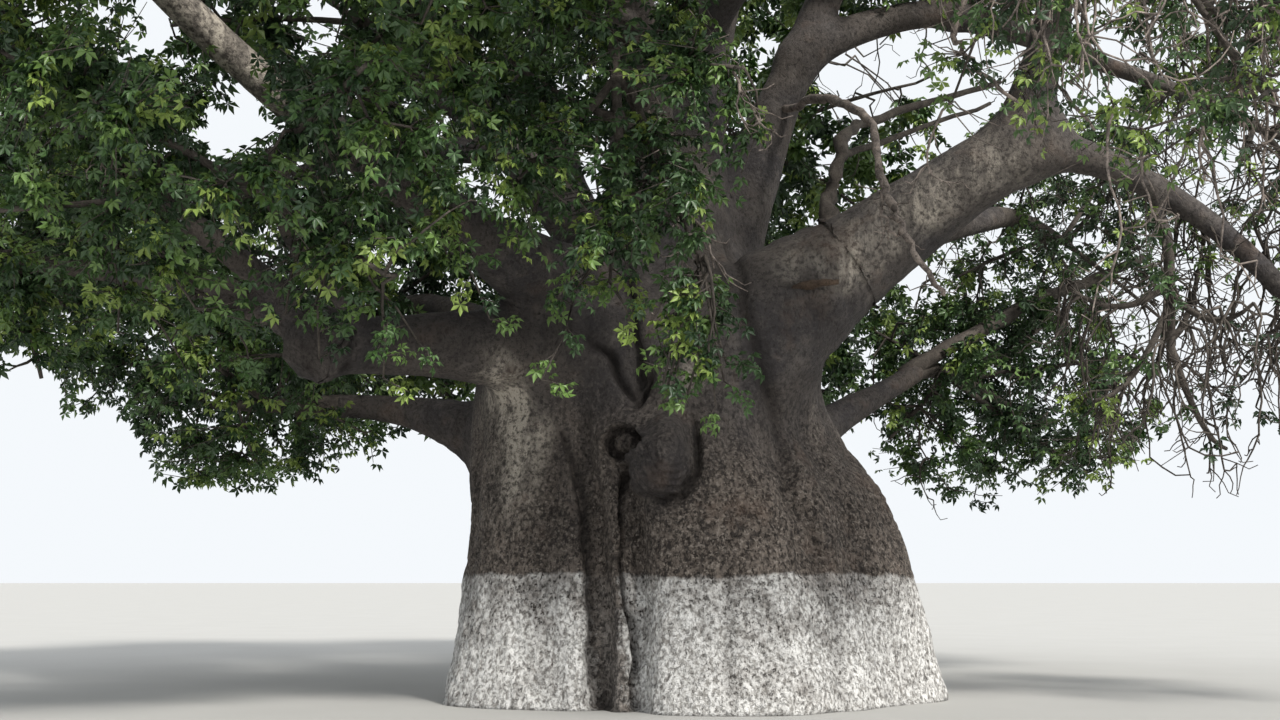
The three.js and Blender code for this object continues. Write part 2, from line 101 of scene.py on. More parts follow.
# Healed scars on the front: a drooping swelling, which is the first three lobes, and beside it a knot
# with a rim round a ring-shaped gap and a rough filling. Further lobes are knobs on the boughs. The scars
# are drawn as seen from the front, and kept to what lies before a depth. The swelling shows in a halo round
# it, and every lobe is joined to the wood over a distance.
LOBES = [
    ((-0.3, -2.44, 3.4), (0.23, 0.34, 0.28)),
    ((-0.36, -2.5, 3.17), (0.32, 0.46, 0.34)),
    ((-0.41, -2.54, 2.96), (0.36, 0.54, 0.36)),
    ((-4.8, -2.7, 4.38), (0.42, 0.36, 0.3)),
    ((-5.95, -2.95, 5.1), (0.3, 0.3, 0.28)),
]
SWELLING = LOBES[:3]
SWELLING_HALO = 0.1
LOBE_JOINT = 0.14
SWELLING_WRINKLES = {"at": (-0.28, 3.2), "apart": 0.075, "from": 0.1, "to": 0.78, "stand": 0.016}
KNOT = {
    "at": (-0.86, 3.345),
    "rim": 0.24,
    "rim_width": 0.03,
    "stand": 0.055,
    "deep": 0.15,
    "core": 0.15,
    "swell": 0.1,
    "swell_width": 0.36,
    "narrow": 0.84,
}
FRONT = -1.5
PATCH_FRONT = -1.2
LINE_FRONT = (-0.2, -0.7)

# The part of the front that holds the scars has a finer skin of its own: its middle across and up, its
# half sizes, the roundness of its corners, the size of its squares, its thickness, how deep the trunk's own
# skin passes behind it, and the width of its border and how far that dips.
SCAR_PATCH = {
    "middle": (-0.55, 3.4),
    "half": (1.15, 1.25),
    "corner": 0.3,
    "square": 0.0145,
    "thick": 0.1,
    "behind": 0.2,
    "fade": 0.06,
    "dip": 0.03,
}

# Hollows where wood has rotted or broken out, painted dark as shade: middle, radius and depth.
HOLLOWS = [
    ((-4.9, -2.98, 4.28), 0.34, 0.22),
    ((-4.3, -2.75, 4.2), 0.2, 0.08),
    ((-5.8, -3.1, 4.9), 0.27, 0.16),
]

# Creases on the front, where stems have grown together or bark has folded: half width, depth, and the
# points of the line as places across, heights, and the share of the depth there.
CREASES = [
    (0.038, 0.18, [
        (-0.84, 3.12, 0), (-0.86, 2.9, 1), (-0.88, 2.35, 1), (-0.88, 1.85, 1), (-0.73, 0.77, 1),
        (-0.66, 0, 0.7),
    ]),
    (0.08, 0.15, [
        (-1.85, 3.75, 0), (-1.59, 3.48, 0.9), (-1.48, 2.99, 1), (-1.37, 2.57, 1), (-1.28, 1.85, 1),
        (-1.16, 0, 0.8),
    ]),
    (0.06, 0.12, [
        (-0.9, 7.6, 0), (-0.86, 6.6, 0.7), (-0.82, 5.63, 1), (-0.74, 4.71, 1), (-0.62, 4.2, 1),
        (-0.8, 3.65, 0),
    ]),
    (0.05, 0.17, [(-0.5, 4.4, 0), (-0.55, 4.15, 1), (-0.66, 3.9, 0.9), (-0.74, 3.75, 0)]),
    (0.06, 0.13, [
        (-1.5, 4.85, 0), (-1.32, 4.73, 0.6), (-1.12, 4.55, 1), (-0.95, 4.33, 1), (-0.72, 4.0, 1),
    ]),
    (0.04, 0.07, [(-1.05, 4.6, 0), (-0.89, 4.24, 1), (-0.72, 3.92, 0.8)]),
    (0.09, 0.1, [
        (0.62, 6.3, 1), (0.74, 4.91, 1), (0.89, 4.36, 1), (1.06, 3.96, 0.9), (1.22, 3.3, 0.7),
        (1.31, 2.61, 0.6),
    ]),
    (0.1, 0.07, [
        (1.31, 2.61, 0.6), (1.56, 2.23, 0.8), (1.67, 1.66, 1), (1.84, 1.11, 0.8), (1.85, 0, 0.5),
    ]),
    (0.24, 0.12, [
        (-1.95, 4.2, 0), (-1.77, 3.27, 1), (-1.79, 2.62, 1), (-1.86, 1.6, 0.6), (-1.86, 0, 0.3),
    ]),
    (0.05, 0.13, [
        (-0.06, 3.75, 0), (0.05, 3.4, 0.9), (0.06, 2.95, 1), (-0.12, 2.65, 1), (-0.4, 2.54, 1),
        (-0.72, 2.68, 0),
    ]),
    (0.04, 0.09, [(1.1, 5.47, 0), (1.3, 5.44, 1), (1.75, 5.43, 1), (1.95, 5.45, 0)]),
    (0.16, 0.09, [(1.4, 5.35, 0), (1.7, 5.12, 1), (1.9, 4.9, 0)]),
    (0.1, 0.1, [(2.0, 4.9, 0), (1.9, 4.4, 0.8), (1.95, 3.96, 1), (2.2, 3.4, 0.9), (2.3, 3.0, 0)]),
    (0.08, 0.05, [(0.35, 2.2, 0), (0.42, 1.6, 1), (0.4, 0.8, 0.7), (0.42, 0, 0.5)]),
]

# Pale patches on the front, partly pale bark and partly painted sunlight: half width, and the line as places
# across, heights and strengths.
PALE_AND_SUNLIT_PATCHES = [
    (0.32, [(-2.5, 4.5, 1.0), (-2.4, 4.0, 1.8), (-2.2, 3.35, 1.3), (-2.3, 2.5, 0.3)]),
    (0.42, [(1.75, 5.2, 0), (2.1, 5.6, 1), (2.5, 5.95, 0.8), (3.1, 6.3, 0.9), (4.0, 6.95, 0.7)]),
    (0.3, [(1.0, 5.8, 0), (1.5, 5.7, 0.5), (2.0, 6.0, 0)]),
    (0.25, [(-0.15, 4.6, 0), (-0.1, 4.2, 0.5), (0.1, 3.9, 0)]),
    (0.5, [(-3.9, 6.2, 0), (-4.8, 7.0, 1), (-6.3, 8.5, 1)]),
]

# Painted shade: bark darkened where shade falls, under the boughs, in the valleys between the stems and
# beside and under the swelling, in the same terms.
PAINTED_SHADE_PATCHES = [
    (0.2, [(-0.12, 3.55, 0.6), (-0.14, 3.2, 1), (-0.18, 2.85, 1), (-0.4, 2.62, 0.8)]),
    (0.4, [(-1.4, 5.2, 0.7), (-1.2, 4.7, 1.0), (-1.0, 4.2, 0.7), (-1.05, 3.8, 0.3)]),
    (0.22, [(-1.75, 3.7, 0), (-1.6, 3.3, 0.6), (-1.55, 2.7, 0.7), (-1.5, 2.0, 0.4)]),
    (0.3, [(0.75, 5.0, 0.3), (0.95, 4.2, 0.6), (1.15, 3.4, 0.4), (1.3, 2.7, 0)]),
    (0.45, [(1.2, 5.0, 0.3), (2.3, 5.1, 0.75), (3.3, 5.9, 0.75), (4.0, 6.4, 0.5)]),
    (0.45, [(-4.6, 4.5, 0.5), (-3.4, 4.7, 0.7), (-2.2, 4.9, 0.8), (-1.3, 5.2, 0.7)]),
]

# A broken stub on the front of the right bough.
STUB = {
    "root": (1.12, -1.9, 5.4),
    "tip": (1.92, -2.5, 5.43),
    "girth": (0.085, 0.03),
    "bend": 0.02,
    "taper": 0.7,
}

# Boughs from the trunk: name, root, tip, radius at each, how far the middle is lifted above the straight
# line between root and tip, and the share of the length that stays on the trunk as its collar.
TRUNK_BOUGHS = [
    ("centre_leader", (-0.45, -0.1, 5.2), (0.75, 0.2, 12.2), (1.2, 0.38), 0, 0.33),
    ("second_leader", (0.1, 0.5, 5.4), (2.6, 1.3, 11.6), (0.85, 0.26), 0, 0.36),
    ("right_bough", (0.35, -0.95, 4.5), (4.6, -2.2, 7.4), (1.35, 0.48), 0.15, 0.4),
    ("left_bough", (-1.2, -1.0, 4.75), (-4.8, -2.65, 4.6), (0.95, 0.38), 0, 0.5),
    ("left_low_bough", (-1.7, 0.3, 3.0), (-5.2, 1.1, 4.2), (1.15, 0.18), 0.3, 0.47),
    ("left_high_bough", (-0.7, -0.6, 5.3), (-6.3, -5.7, 8.5), (0.85, 0.2), -0.5, 0.3),
    ("left_riser", (-0.6, 0.0, 5.6), (-4.0, 0.5, 9.2), (0.8, 0.2), 0.2, 0.36),
    ("back_left_riser", (-0.8, 0.6, 5.0), (-2.4, 3.2, 9.6), (0.85, 0.2), 0.2, 0.36),
    ("left_back_bough", (-0.8, 0.8, 4.2), (-4.4, 4.8, 6.4), (1.0, 0.22), 0.2, 0.42),
    ("back_bough", (-0.2, 1.0, 4.4), (0.9, 7.0, 7.2), (1.05, 0.22), 0.3, 0.36),
    ("right_back_high_bough", (0.1, 0.8, 4.9), (5.6, 4.4, 7.9), (0.95, 0.2), 0.3, 0.34),
    ("right_back_low_bough", (0.9, 1.0, 2.9), (3.9, 3.3, 5.0), (0.8, 0.17), 0.1, 0.52),
    ("front_bough", (-0.4, -0.4, 6.0), (-1.0, -5.0, 9.9), (0.8, 0.18), 0.5, 0.34),
]

# Boughs that fork from another: name, the bough it leaves and at what share of its length, tip, radius
# at root and tip, and how far the middle is lifted.
FORKS = [
    ("right_riser", "right_bough", 0.95, (5.2, -2.4, 10.2), (0.44, 0.2), 0),
    ("right_drop", "right_bough", 0.93, (8.0, -2.3, 5.0), (0.34, 0.14), 0.65),
    ("right_hanger", "right_drop", 0.5, (6.3, -2.2, 5.95), (0.13, 0.08), 0),
    ("arch_rise", "second_leader", 0.68, (4.3, 1.2, 10.4), (0.3, 0.21), 0.25),
    ("arch_fall", "arch_rise", 0.97, (8.3, 1.4, 9.0), (0.21, 0.12), 0.1),
    ("front_right_bough", "right_riser", 0.55, (4.5, -5.0, 10.0), (0.2, 0.12), 0.3),
    ("left_far_bough", "left_bough", 0.92, (-7.4, -3.0, 5.5), (0.28, 0.17), 0.15),
    ("left_fork", "left_bough", 0.86, (-7.7, -3.9, 7.2), (0.24, 0.14), -0.1),
    ("left_front_fork", "left_bough", 0.8, (-4.8, -4.3, 5.7), (0.2, 0.12), 0),
    ("left_far_fork", "left_riser", 0.6, (-7.0, 1.6, 7.6), (0.24, 0.14), 0.25),
    ("back_riser", "back_bough", 0.62, (1.1, 5.3, 9.2), (0.3, 0.15), 0),
    ("front_left_fork", "front_bough", 0.62, (-2.5, -5.9, 8.9), (0.19, 0.12), 0.1),
    ("front_low_fork", "front_bough", 0.5, (-1.0, -3.9, 8.5), (0.15, 0.09), 0.15),
    ("top_left_fork", "centre_leader", 0.7, (-1.7, -2.3, 11.2), (0.28, 0.15), 0.1),
    ("top_front_fork", "centre_leader", 0.62, (1.9, -3.2, 10.8), (0.28, 0.15), 0.2),
]

# How far boughs crook sideways, twice as far as forks do, and how quickly they taper.
BOUGH_CROOK = 0.09
BOUGH_TAPER = 2.5

# How wood grows together: the share of a limb's radius that the corner is filled over, and the least and
# most of it, where the limb leaves the trunk and where it leaves another. The trunk counts as one girth, the
# girths of wood that meets are mixed over a distance, and a limb counts as far as a margin round it.
JOINTS = {"trunk": (0.55, 0.06, 0.42), "fork": (0.8, 0.05, 0.25)}
TRUNK_GIRTH = 2.5
GIRTH_MIX = 0.15
LIMB_MARGIN = 0.5

# Sides and rings of the rods that are melted into a skin.
COLLAR_ROD = (36, 12)
BOUGH_ROD = (28, 24)
FORK_ROD = (20, 24)

# Masses of foliage: the bough that carries each, its middle, its reach along X, Y and Z, how far its
# sprays hang (weep, 0 to 1), the share of them that is in leaf, how thick with fine twigs it is, how many
# long bare twigs hang from it, and the length of its leaflets, which are larger where they are fewer.
MASSES = [
    ("centre_leader", (0.4, -0.5, 13.5), (3.0, 2.8, 2.0), 0.1, 1, 0.55, 0, 0.17),
    ("second_leader", (3.7, 2.5, 12.4), (2.9, 2.9, 2.0), 0.1, 1, 0.6, 4, 0.17),
    ("left_riser", (-5.1, 0.6, 10.7), (3.2, 3.0, 2.3), 0.1, 1, 0.5, 0, 0.19),
    ("back_left_riser", (-2.9, 5.0, 11.1), (3.1, 2.9, 2.1), 0.1, 1, 0.5, 0, 0.19),
    ("back_riser", (2.0, 6.8, 10.3), (3.0, 2.8, 2.2), 0.1, 1, 0.5, 0, 0.19),
    ("right_riser", (6.1, -2.7, 11.2), (2.9, 2.7, 2.0), 0.2, 0.65, 0.7, 26, 0.12),
    ("top_left_fork", (-2.9, -4.0, 12.1), (2.7, 2.6, 1.9), 0.1, 1, 0.6, 0, 0.17),
    ("top_front_fork", (2.7, -5.2, 11.7), (2.6, 2.5, 1.9), 0.2, 0.6, 0.6, 20, 0.14),
    ("arch_fall", (9.9, 1.9, 8.9), (2.9, 3.1, 2.4), 0.4, 0.6, 0.85, 36, 0.12),
    ("right_back_high_bough", (7.4, 6.1, 8.1), (3.1, 2.9, 2.3), 0.2, 0.5, 0.9, 24, 0.13),
    ("right_back_low_bough", (5.7, 4.5, 4.9), (2.7, 2.3, 1.95), 0.3, 0.85, 1.4, 12, 0.125),
    ("back_bough", (1.5, 9.3, 6.8), (3.5, 2.9, 2.4), 0.2, 1, 0.6, 0, 0.175),
    ("left_back_bough", (-5.9, 6.8, 6.8), (3.4, 3.0, 2.5), 0.2, 1, 0.65, 0, 0.17),
    ("left_far_fork", (-9.5, 2.8, 7.8), (3.1, 3.0, 2.3), 0.2, 1, 0.9, 0, 0.15),
    ("left_low_bough", (-7.3, 1.7, 4.5), (2.9, 2.5, 1.5), 0.3, 1, 1.5, 0, 0.12),
    ("left_far_bough", (-9.8, -2.8, 5.7), (2.8, 2.6, 1.9), 0.3, 1, 1.4, 0, 0.122),
    ("left_fork", (-9.4, -4.9, 9.0), (2.7, 2.6, 2.0), 0.2, 1, 1.2, 0, 0.13),
    ("left_high_bough", (-6.6, -7.6, 9.6), (2.8, 2.6, 2.1), 0.2, 1, 1.0, 0, 0.14),
    ("left_front_fork", (-5.0, -5.9, 6.3), (3.0, 2.2, 1.8), 0.3, 1, 1.7, 2, 0.112),
    ("front_left_fork", (-3.1, -8.1, 8.9), (2.2, 2.5, 1.9), 0.2, 1, 1.2, 1, 0.13),
    ("front_bough", (-0.2, -7.4, 10.6), (2.5, 2.8, 2.0), 0.2, 1, 0.8, 6, 0.16),
    ("front_low_fork", (-0.9, -4.7, 6.9), (1.8, 1.5, 2.0), 0.5, 0.9, 1.6, 8, 0.11),
    ("front_right_bough", (4.7, -7.1, 8.5), (3.1, 2.8, 2.8), 0.7, 0.5, 0.85, 90, 0.1),
    ("right_drop", (9.3, -2.6, 4.9), (2.5, 2.5, 2.2), 0.8, 0.2, 1.0, 110, 0.11),
    ("right_hanger", (6.3, -2.1, 4.7), (1.5, 1.5, 1.7), 0.9, 0.2, 1.3, 60, 0.11),
]

# Gaps in the crown where the sky shows through or a bare limb shows in front: the middle line of each
# from front to back, the radius at each end, and the share of the fine twigs that stays there, bare.
CLEARINGS = [
    ((-4.26, -10.5, 5.92), (-5.72, -5.8, 7.65), (0.3, 0.45), 0),
    ((-3.85, -10.5, 5.39), (-5.13, -5.2, 6.9), (0.3, 0.45), 0),
    ((-3.91, -10.5, 5.08), (-7.97, 4.0, 9.38), (0.25, 0.5), 0),
    ((-3.03, -11.0, 5.8), (-7.08, 8.0, 12.92), (0.25, 0.45), 0),
    ((-3.87, -9.0, 4.51), (-7.55, 6.0, 7.8), (0.2, 0.35), 0),
    ((-5.5, -5.1, 7.9), (-1.7, -9.9, 13.1), (0.6, 0.7), 0),
    ((-4.9, -4.6, 7.5), (-1.1, -9.4, 12.7), (0.6, 0.7), 0),
    ((3.2, -2.3, 6.6), (6.6, -6.7, 11.3), (0.7, 0.8), 0.5),
    ((-7.5, -5.5, 3.45), (-11.7, 5.0, 4.6), (0.55, 0.9), 0),
    ((-6.5, -5.5, 2.95), (-10.2, 5.0, 3.8), (0.5, 0.8), 0),
    ((2.84, 1.5, 9.54), (4.02, 9.5, 12.22), (0.75, 1.0), 0.25),
    ((4.38, 2.0, 9.96), (5.95, 9.5, 12.55), (0.85, 1.15), 0.25),
    ((7.64, 1.5, 5.44), (10.46, 9.5, 6.72), (1.0, 1.4), 0.5),
    ((8.07, 1.0, 8.17), (11.28, 9.5, 10.57), (0.75, 1.0), 0.5),
    ((8.32, 1.5, 6.54), (11.37, 9.5, 8.2), (0.8, 1.1), 0.5),
]

# Branches of their own in the gaps: the points that each passes, and its radius at both ends. A dead one
# with its side twig and two thinner ones hang before the right bough. Of the living ones two rise behind it
# and one goes on from the low bough at the back. Then the steps from place to place, the spurs on each, and
# the sides of its rod.
DEAD_BRANCHES = [
    ([
        (1.5, 0.9, 8.75), (1.94, -0.4, 8.55), (2.2, -1.3, 8.17), (2.45, -2.2, 7.61), (2.41, -2.8, 6.9),
        (2.5, -3.1, 6.36), (2.66, -3.2, 5.89), (2.88, -3.3, 5.48), (3.09, -3.3, 5.1),
    ], (0.07, 0.032)),
    ([
        (2.42, -2.8, 6.9), (2.41, -3.02, 6.58), (2.4, -3.12, 6.25), (2.46, -3.2, 5.95),
        (2.63, -3.2, 5.9),
    ], (0.03, 0.014)),
    ([
        (4.3, -4.9, 9.9), (3.4, -5.1, 8.9), (2.98, -5, 7.9), (3.09, -5, 7.66), (3.37, -5, 7.3),
        (3.93, -5, 6.83),
    ], (0.05, 0.018)),
    ([
        (4.4, -5, 9.9), (3.95, -5.1, 9), (3.8, -5, 8.27), (3.9, -5, 7.78), (4.06, -5, 7.42),
        (4.55, -5, 6.71),
    ], (0.05, 0.018)),
]
INNER_BRANCHES = [
    ([
        (2.0, -1.1, 6.2), (2.05, -0.7, 7.0), (2.35, -0.3, 8.03), (2.99, 0.6, 8.56), (5.08, 1.6, 9.46),
    ], (0.14, 0.04)),
    ([
        (2.3, -0.35, 7.7), (2.62, 0.2, 7.94), (4.82, 1.2, 8.98),
    ], (0.07, 0.03)),
    ([
        (3.7, 3.2, 4.95), (5.61, 4.0, 6.06), (6.73, 4.5, 6.59), (8.06, 4.8, 7.14), (8.49, 5.0, 7.31),
    ], (0.15, 0.05)),
]
BRANCH_STEPS = 6
BRANCH_SPURS = 7
BRANCH_SIDES = 8

# Tips of leafy sprays that hang before the trunk and the left bough, the way that they leave, and how far
# above its tip a spray may start before a lower start counts against it.
SPRAY_WAY = (0.0, -0.25, -0.3)
SPRAY_RISE = 0.7
HANGING_SPRAYS = [
    (-0.4, -4.45, 3.8), (0.35, -4.3, 4.1), (-0.75, -4.3, 4.45), (-1.6, -4.4, 4.9), (-1.8, -4.4, 3.9),
    (-2.4, -4.5, 4.6), (-2.9, -4.4, 5.3), (-3.2, -4.6, 4.3), (-3.6, -4.6, 3.9), (-3.9, -4.7, 4.6),
    (-4.3, -4.8, 4.1), (-4.7, -4.8, 4.6), (-5.1, -4.9, 4.2), (-5.5, -4.8, 4.7), (-5.9, -4.7, 4.1),
    (-6.6, -4.8, 4.4), (-1.1, -4.4, 6.2), (-2.0, -4.4, 5.7), (-2.3, -4.5, 6.1), (-2.6, -4.6, 6.6),
    (-1.8, -4.5, 6.6), (-0.12, -4.4, 3.66), (0.32, -4.3, 3.9), (-0.25, -4.4, 4.0), (0.22, -4.35, 3.6),
    (-0.4, -4.4, 3.62),
]

# The space between masses, the stem of a mass, and its main twigs.
SPACE_MARGIN = 0.035
STEM = {"bend": 0.35, "drop": 0.15, "rings": 13, "sides": 10, "overlap": 0.9}
TWIG = {"count": 6, "girth": (0.055, 0.025), "from": 0.35, "to": 0.95, "arch": 0.15, "sag": 0.5}
TWIG_SPANS = (0.98, 0.8, 0.6)
TWIG_LINE = {"rings": 9, "sides": 6}
GOLDEN_ANGLE = math.pi * (3 - math.sqrt(5))

# Bark relief: size of each kind of unevenness and how far it stands out on a thick limb.
LUMPS = ((1.3, 0.06), (0.5, 0.03))
WRINKLES = (0.22, 0.016)
PITS = ((0.13, 0.022), (0.045, 0.012))

# Other unevenness: the size and the seed of its noise. Then the seeds of the kinds above, each kind's next
# size taking the next number, and those of what grows.
NOISES = {
    "rough edge": (0.9, 3),
    "crease paths": (0.35, 40),
    "hollow floors": (0.09, 41),
    "knot outline": (0.15, 51),
    "swelling folds": (0.3, 53),
    "patch paths": (0.4, 60),
    "stub": (0.08, 70),
    "clearing sides": (0.7, 80),
    "knot knobs": (0.06, 50),
    "knot grain": (0.03, 52),
    "patch flecks": (0.12, 61),
}
SEEDS = {
    "lumps": 10,
    "wrinkles": 20,
    "pits": 30,
    "outline": 90,
    "branches": 17,
    "leaves": 7,
    "sprays": 31,
}

# Rough bark: the heights where it starts and is full, how ragged that is, and the girths of wood likewise.
ROUGH_BARK = {"height": (4.6, 2.4), "ragged": 0.5, "girth": (0.9, 2.2)}

# Squares of the bark's skin. The trunk's are finer in front and coarser behind by these factors, which
# pass into each other over a depth. The foot is flat up to a part of a square.
VOXEL = {"trunk": 0.0545, "bough": 0.042}
FOOT = 0.4 * VOXEL["trunk"]
FINENESS = {"front": 1.4, "back": 0.8, "over": 1.2}

# Where the skin of the trunk meets that of a bough: how far the trunk's goes on under the bough's, how far
# back the bough's starts, and how deep each lies under the other, which it reaches over a length. The
# trunk's dips within so many radii of the seam and a little more, and the bough's within a reach.
LAP = {"length": 0.14, "bough": 0.3, "under": 0.014, "over": 0.08}
LAP_NEAR = {"radii": 1.6, "more": 0.2, "reach": 2.0}

# Finer growth: twigs per cubic metre of a mass's reach, their steps and sides, radius at root and tip, and
# lengths. Hangers are the long bare twigs that hang, and spurs are the short ones on them.
BRANCHLETS = {"density": 0.85, "steps": 5, "sides": 4, "girth": (0.03, 0.013), "longest": 2.6}
FINE_TWIGS = {"density": 10.5, "steps": 4, "sides": 3, "girth": (0.012, 0.005), "longest": 1.3}
BARE_TWIGS = {"sides": 3, "girth": (0.013, 0.006)}
HANGERS = {"steps": 9, "sides": 4, "girth": (0.021, 0.01), "length": (0.7, 2.2)}
HANGER_SPURS = 6
LOWEST_HANGER = 2.8
SPURS = {"steps": 4, "sides": 3, "girth": (0.011, 0.007), "length": (0.2, 0.6)}
SPRAY_TWIGS = {"count": 6, "length": (0.25, 0.5), "from": 0.45}

# How twigs walk: how far they sag, how far their ends lift, and how far each step strays.
HANGER_WALK = (0.75, 0.5, 0.26)
HANGER_SPUR_WALK = (0.45, 0.7, 0.3)
BRANCH_SPUR_WALK = (0.3, 0.6, 0.3)
SPRAY_WALK = (0.2, 0.0, 0.15)

# Leaves: the share of a fine twig that they start at, their number, the turns, lengths and form of their
# leaflets, and the length of their stalks.
LEAVES_FROM = 0.22
LEAVES_PER_TWIG = 7
LEAFLET_TURNS = np.radians([-118.0, -60.0, 0.0, 60.0, 118.0])
LEAFLET_LENGTHS = np.array([0.72, 0.95, 1.0, 0.95, 0.72])
LEAFLET = {"half_width": 0.24, "widest": 0.58, "fold": 0.02, "droop": 0.5}
SPRAY_LEAFLET = 0.105
PETIOLE = 0.08

# Bare twigs before this depth are painted pale as sunlit, and those behind it darker as shaded. Twigs keep
# clear of the wood and inside the solids' box, but for a little slack. The outline of a mass bulges and dips
# by noise, and twigs crowd towards it. The sides of the clearings are ragged, and stouter twigs grow only
# where more than a least share of the fine ones stays.
SUNLIT_FRONT = -2.65
WOOD_CLEARANCE = 0.05
BOX_SLACK = 0.2
OUTLINE = {"bulge": 0.2, "size": 1.7, "dip": -0.35, "crowding": 3.6}
CLEARING_RAGGED = 0.3
LEAST_STAY = 0.1

# Leaf colours, and the share of the sprays that each is dealt to, from the shaded inside outwards: painted
# shade inside the crown, painted sunlight outside and on top, with random differences in tone.
LEAF_COLOURS = [
    ("leaves_shaded", (0.034, 0.070, 0.029), 0.21),
    ("leaves_deep", (0.050, 0.100, 0.035), 0.22),
    ("leaves_green", (0.074, 0.144, 0.043), 0.22),
    ("leaves_fresh", (0.126, 0.215, 0.054), 0.22),
    ("leaves_young", (0.250, 0.350, 0.080), 0.13),
]

# Colours of the bark where it is smooth and where it is rough, of what lies over both, which paints sunlight
# and shade in places, of the limewash, and of twigs, the pale tint of bare twigs in front painting sunlight.
SMOOTH_BARK = {
    "dark": (0.056, 0.051, 0.053),
    "light": (0.098, 0.084, 0.075),
    "mottled": (0.165, 0.146, 0.132),
    "flecks": (0.190, 0.170, 0.152),
    "pits": (0.024, 0.021, 0.020),
}
ROUGH_BARK_TINTS = {
    "dark": (0.032, 0.025, 0.021),
    "light": (0.185, 0.154, 0.131),
    "flecks": (0.310, 0.270, 0.236),
    "pits": (0.016, 0.012, 0.010),
}
BARK_COATS = {
    "fine": (0.030, 0.026, 0.024),
    "streaked": (0.038, 0.033, 0.032),
    "rusty": (0.115, 0.068, 0.046),
    # Pale bark with painted sunlight.
    "bleached": (0.460, 0.415, 0.355),
    # Painted shade along the shade patches and on the swelling's lower part.
    "stained": (0.026, 0.023, 0.024),
    # Painted shade in creases.
    "creased": (0.016, 0.013, 0.012),
    # Painted shade in hollows and in the knot's gap.
    "hollow": (0.014, 0.010, 0.009),
}
LIMEWASH = {
    "grey": (0.66, 0.65, 0.635),
    "white": (0.93, 0.92, 0.90),
    "worn": (0.200, 0.185, 0.168),
}
TWIG_TINTS = {
    "twig_bark": ((0.062, 0.053, 0.047), (0.135, 0.116, 0.100)),
    # Bare twigs in front: partly their own pale bark and partly painted sunlight.
    "bare_twig_bark": ((0.110, 0.092, 0.084), (0.400, 0.335, 0.295)),
    "stub_bark": ((0.060, 0.042, 0.032), (0.150, 0.105, 0.075)),
}

# The upper edge of the limewash, the strip between two folds that it leaves bare, how far that strip leans,
# and the depths over which it fades.
WASH_TOP = 1.66
UNPAINTED = (-1.2, -0.78)
STRIP_LEAN = 0.09
STRIP_FADE = (-2.0, -1.8)

# Sky, sun and floor. The sun is tilted from overhead towards the front, and turned.
SKY = {"colour": (0.93, 0.965, 1.0, 1), "strength": 0.98}
SUN = {"colour": (1.0, 0.965, 0.9), "strength": 4.0, "spread": 10, "tilt": 50, "turn": 38}
FLOOR = {"half": 400.0, "dark": (0.42, 0.415, 0.40), "light": (0.47, 0.465, 0.45)}

# Large numbers that scatter the corners of the noise's lattice: one for each axis, one for the seed, and two
# that stir the result after a shift. The mask keeps 31 bits.
HASH_AXES = (73856093, 19349663, 83492791)
HASH_SEED = 2654435761
HASH_STIRS = ((13, 1274126177), (15, 668265263))
HASH_MASK = 0x7FFFFFFF

# Steps by which evenly spread points advance along three axes: one over the powers of the root of
# x^4 = x + 1, which is to three dimensions what the golden ratio is to one.
EVEN_RATIO = 1.2207440846
EVEN_STEPS = np.array([1 / EVEN_RATIO, 1 / EVEN_RATIO**2, 1 / EVEN_RATIO**3])

UP = np.array([0.0, 0.0, 1.0])
FRAMING = np.array([0.31, 0.22, 0.93])


def unit(vectors):
    """Each vector divided by its own length."""
    return vectors / np.maximum(np.linalg.norm(vectors, axis=-1, keepdims=True), 1e-9)


def direction(level, turn):
    """Unit vectors that reach this high and are turned this far round."""
    across = np.sqrt(1 - level**2)
    return np.stack([across * np.cos(turn), across * np.sin(turn), level], axis=-1)


def framed(onward):
    """Two unit directions that are square to each of these and to each other."""
    across = unit(np.cross(onward, FRAMING))
    return across, np.cross(onward, across)


def smoothstep(low, high, value):
    """An S-curve from 0 at low to 1 at high."""
    t = np.clip((value - low) / (high - low), 0, 1)
    return t * t * (3 - 2 * t)


def bell(distance, width):
    """A bell curve: 1 at no distance, and about a third at the width."""
    return np.exp(-((distance / width) ** 2))


def smooth_cubic(before, low, high, after, t):
    """The cubic from low to high that is sloped at each as the line from its neighbour before to the one
    after."""
    slope_in, slope_out = (high - before) / 2, (after - low) / 2
    bow = 3 * (high - low) - 2 * slope_in - slope_out
    twist = slope_in + slope_out - 2 * (high - low)
    return low + slope_in * t + bow * t**2 + twist * t**3


def parabola(start, control, end, t):
    """The curve from start to end that is drawn towards one control point."""
    return (1 - t) ** 2 * start + 2 * t * (1 - t) * control + t**2 * end


def on_stretch(points, start, end):
    """The share of a straight stretch at which it is nearest to each point, and its distance there."""
    step = end - start
    t = np.clip((points - start) @ step / (step @ step), 0, 1)
    return t, np.linalg.norm(points - start - t[:, None] * step, axis=1)


def lattice_noise(points, size, seed):
    """Smooth noise from -1 to 1: every corner of a cubic lattice of this size holds a hashed value, and a
    point blends the values at its eight corners by S-curves."""
    cells = points / size
    base = np.floor(cells).astype(np.int64)
    share = cells - base
    share = share * share * (3 - 2 * share)
    total = np.zeros(len(points))
    for corner in np.ndindex(2, 2, 2):
        x, y, z = (base + corner).T
        mixed = (x * HASH_AXES[0]) ^ (y * HASH_AXES[1]) ^ (z * HASH_AXES[2]) ^ (seed * HASH_SEED)
        for shift, stir in HASH_STIRS:
            mixed = ((mixed ^ (mixed >> shift)) * stir) & HASH_MASK
        weight = np.prod(np.where(corner, share, 1 - share), axis=1)
        total += weight * (mixed / (HASH_MASK >> 1) - 1)
    return total


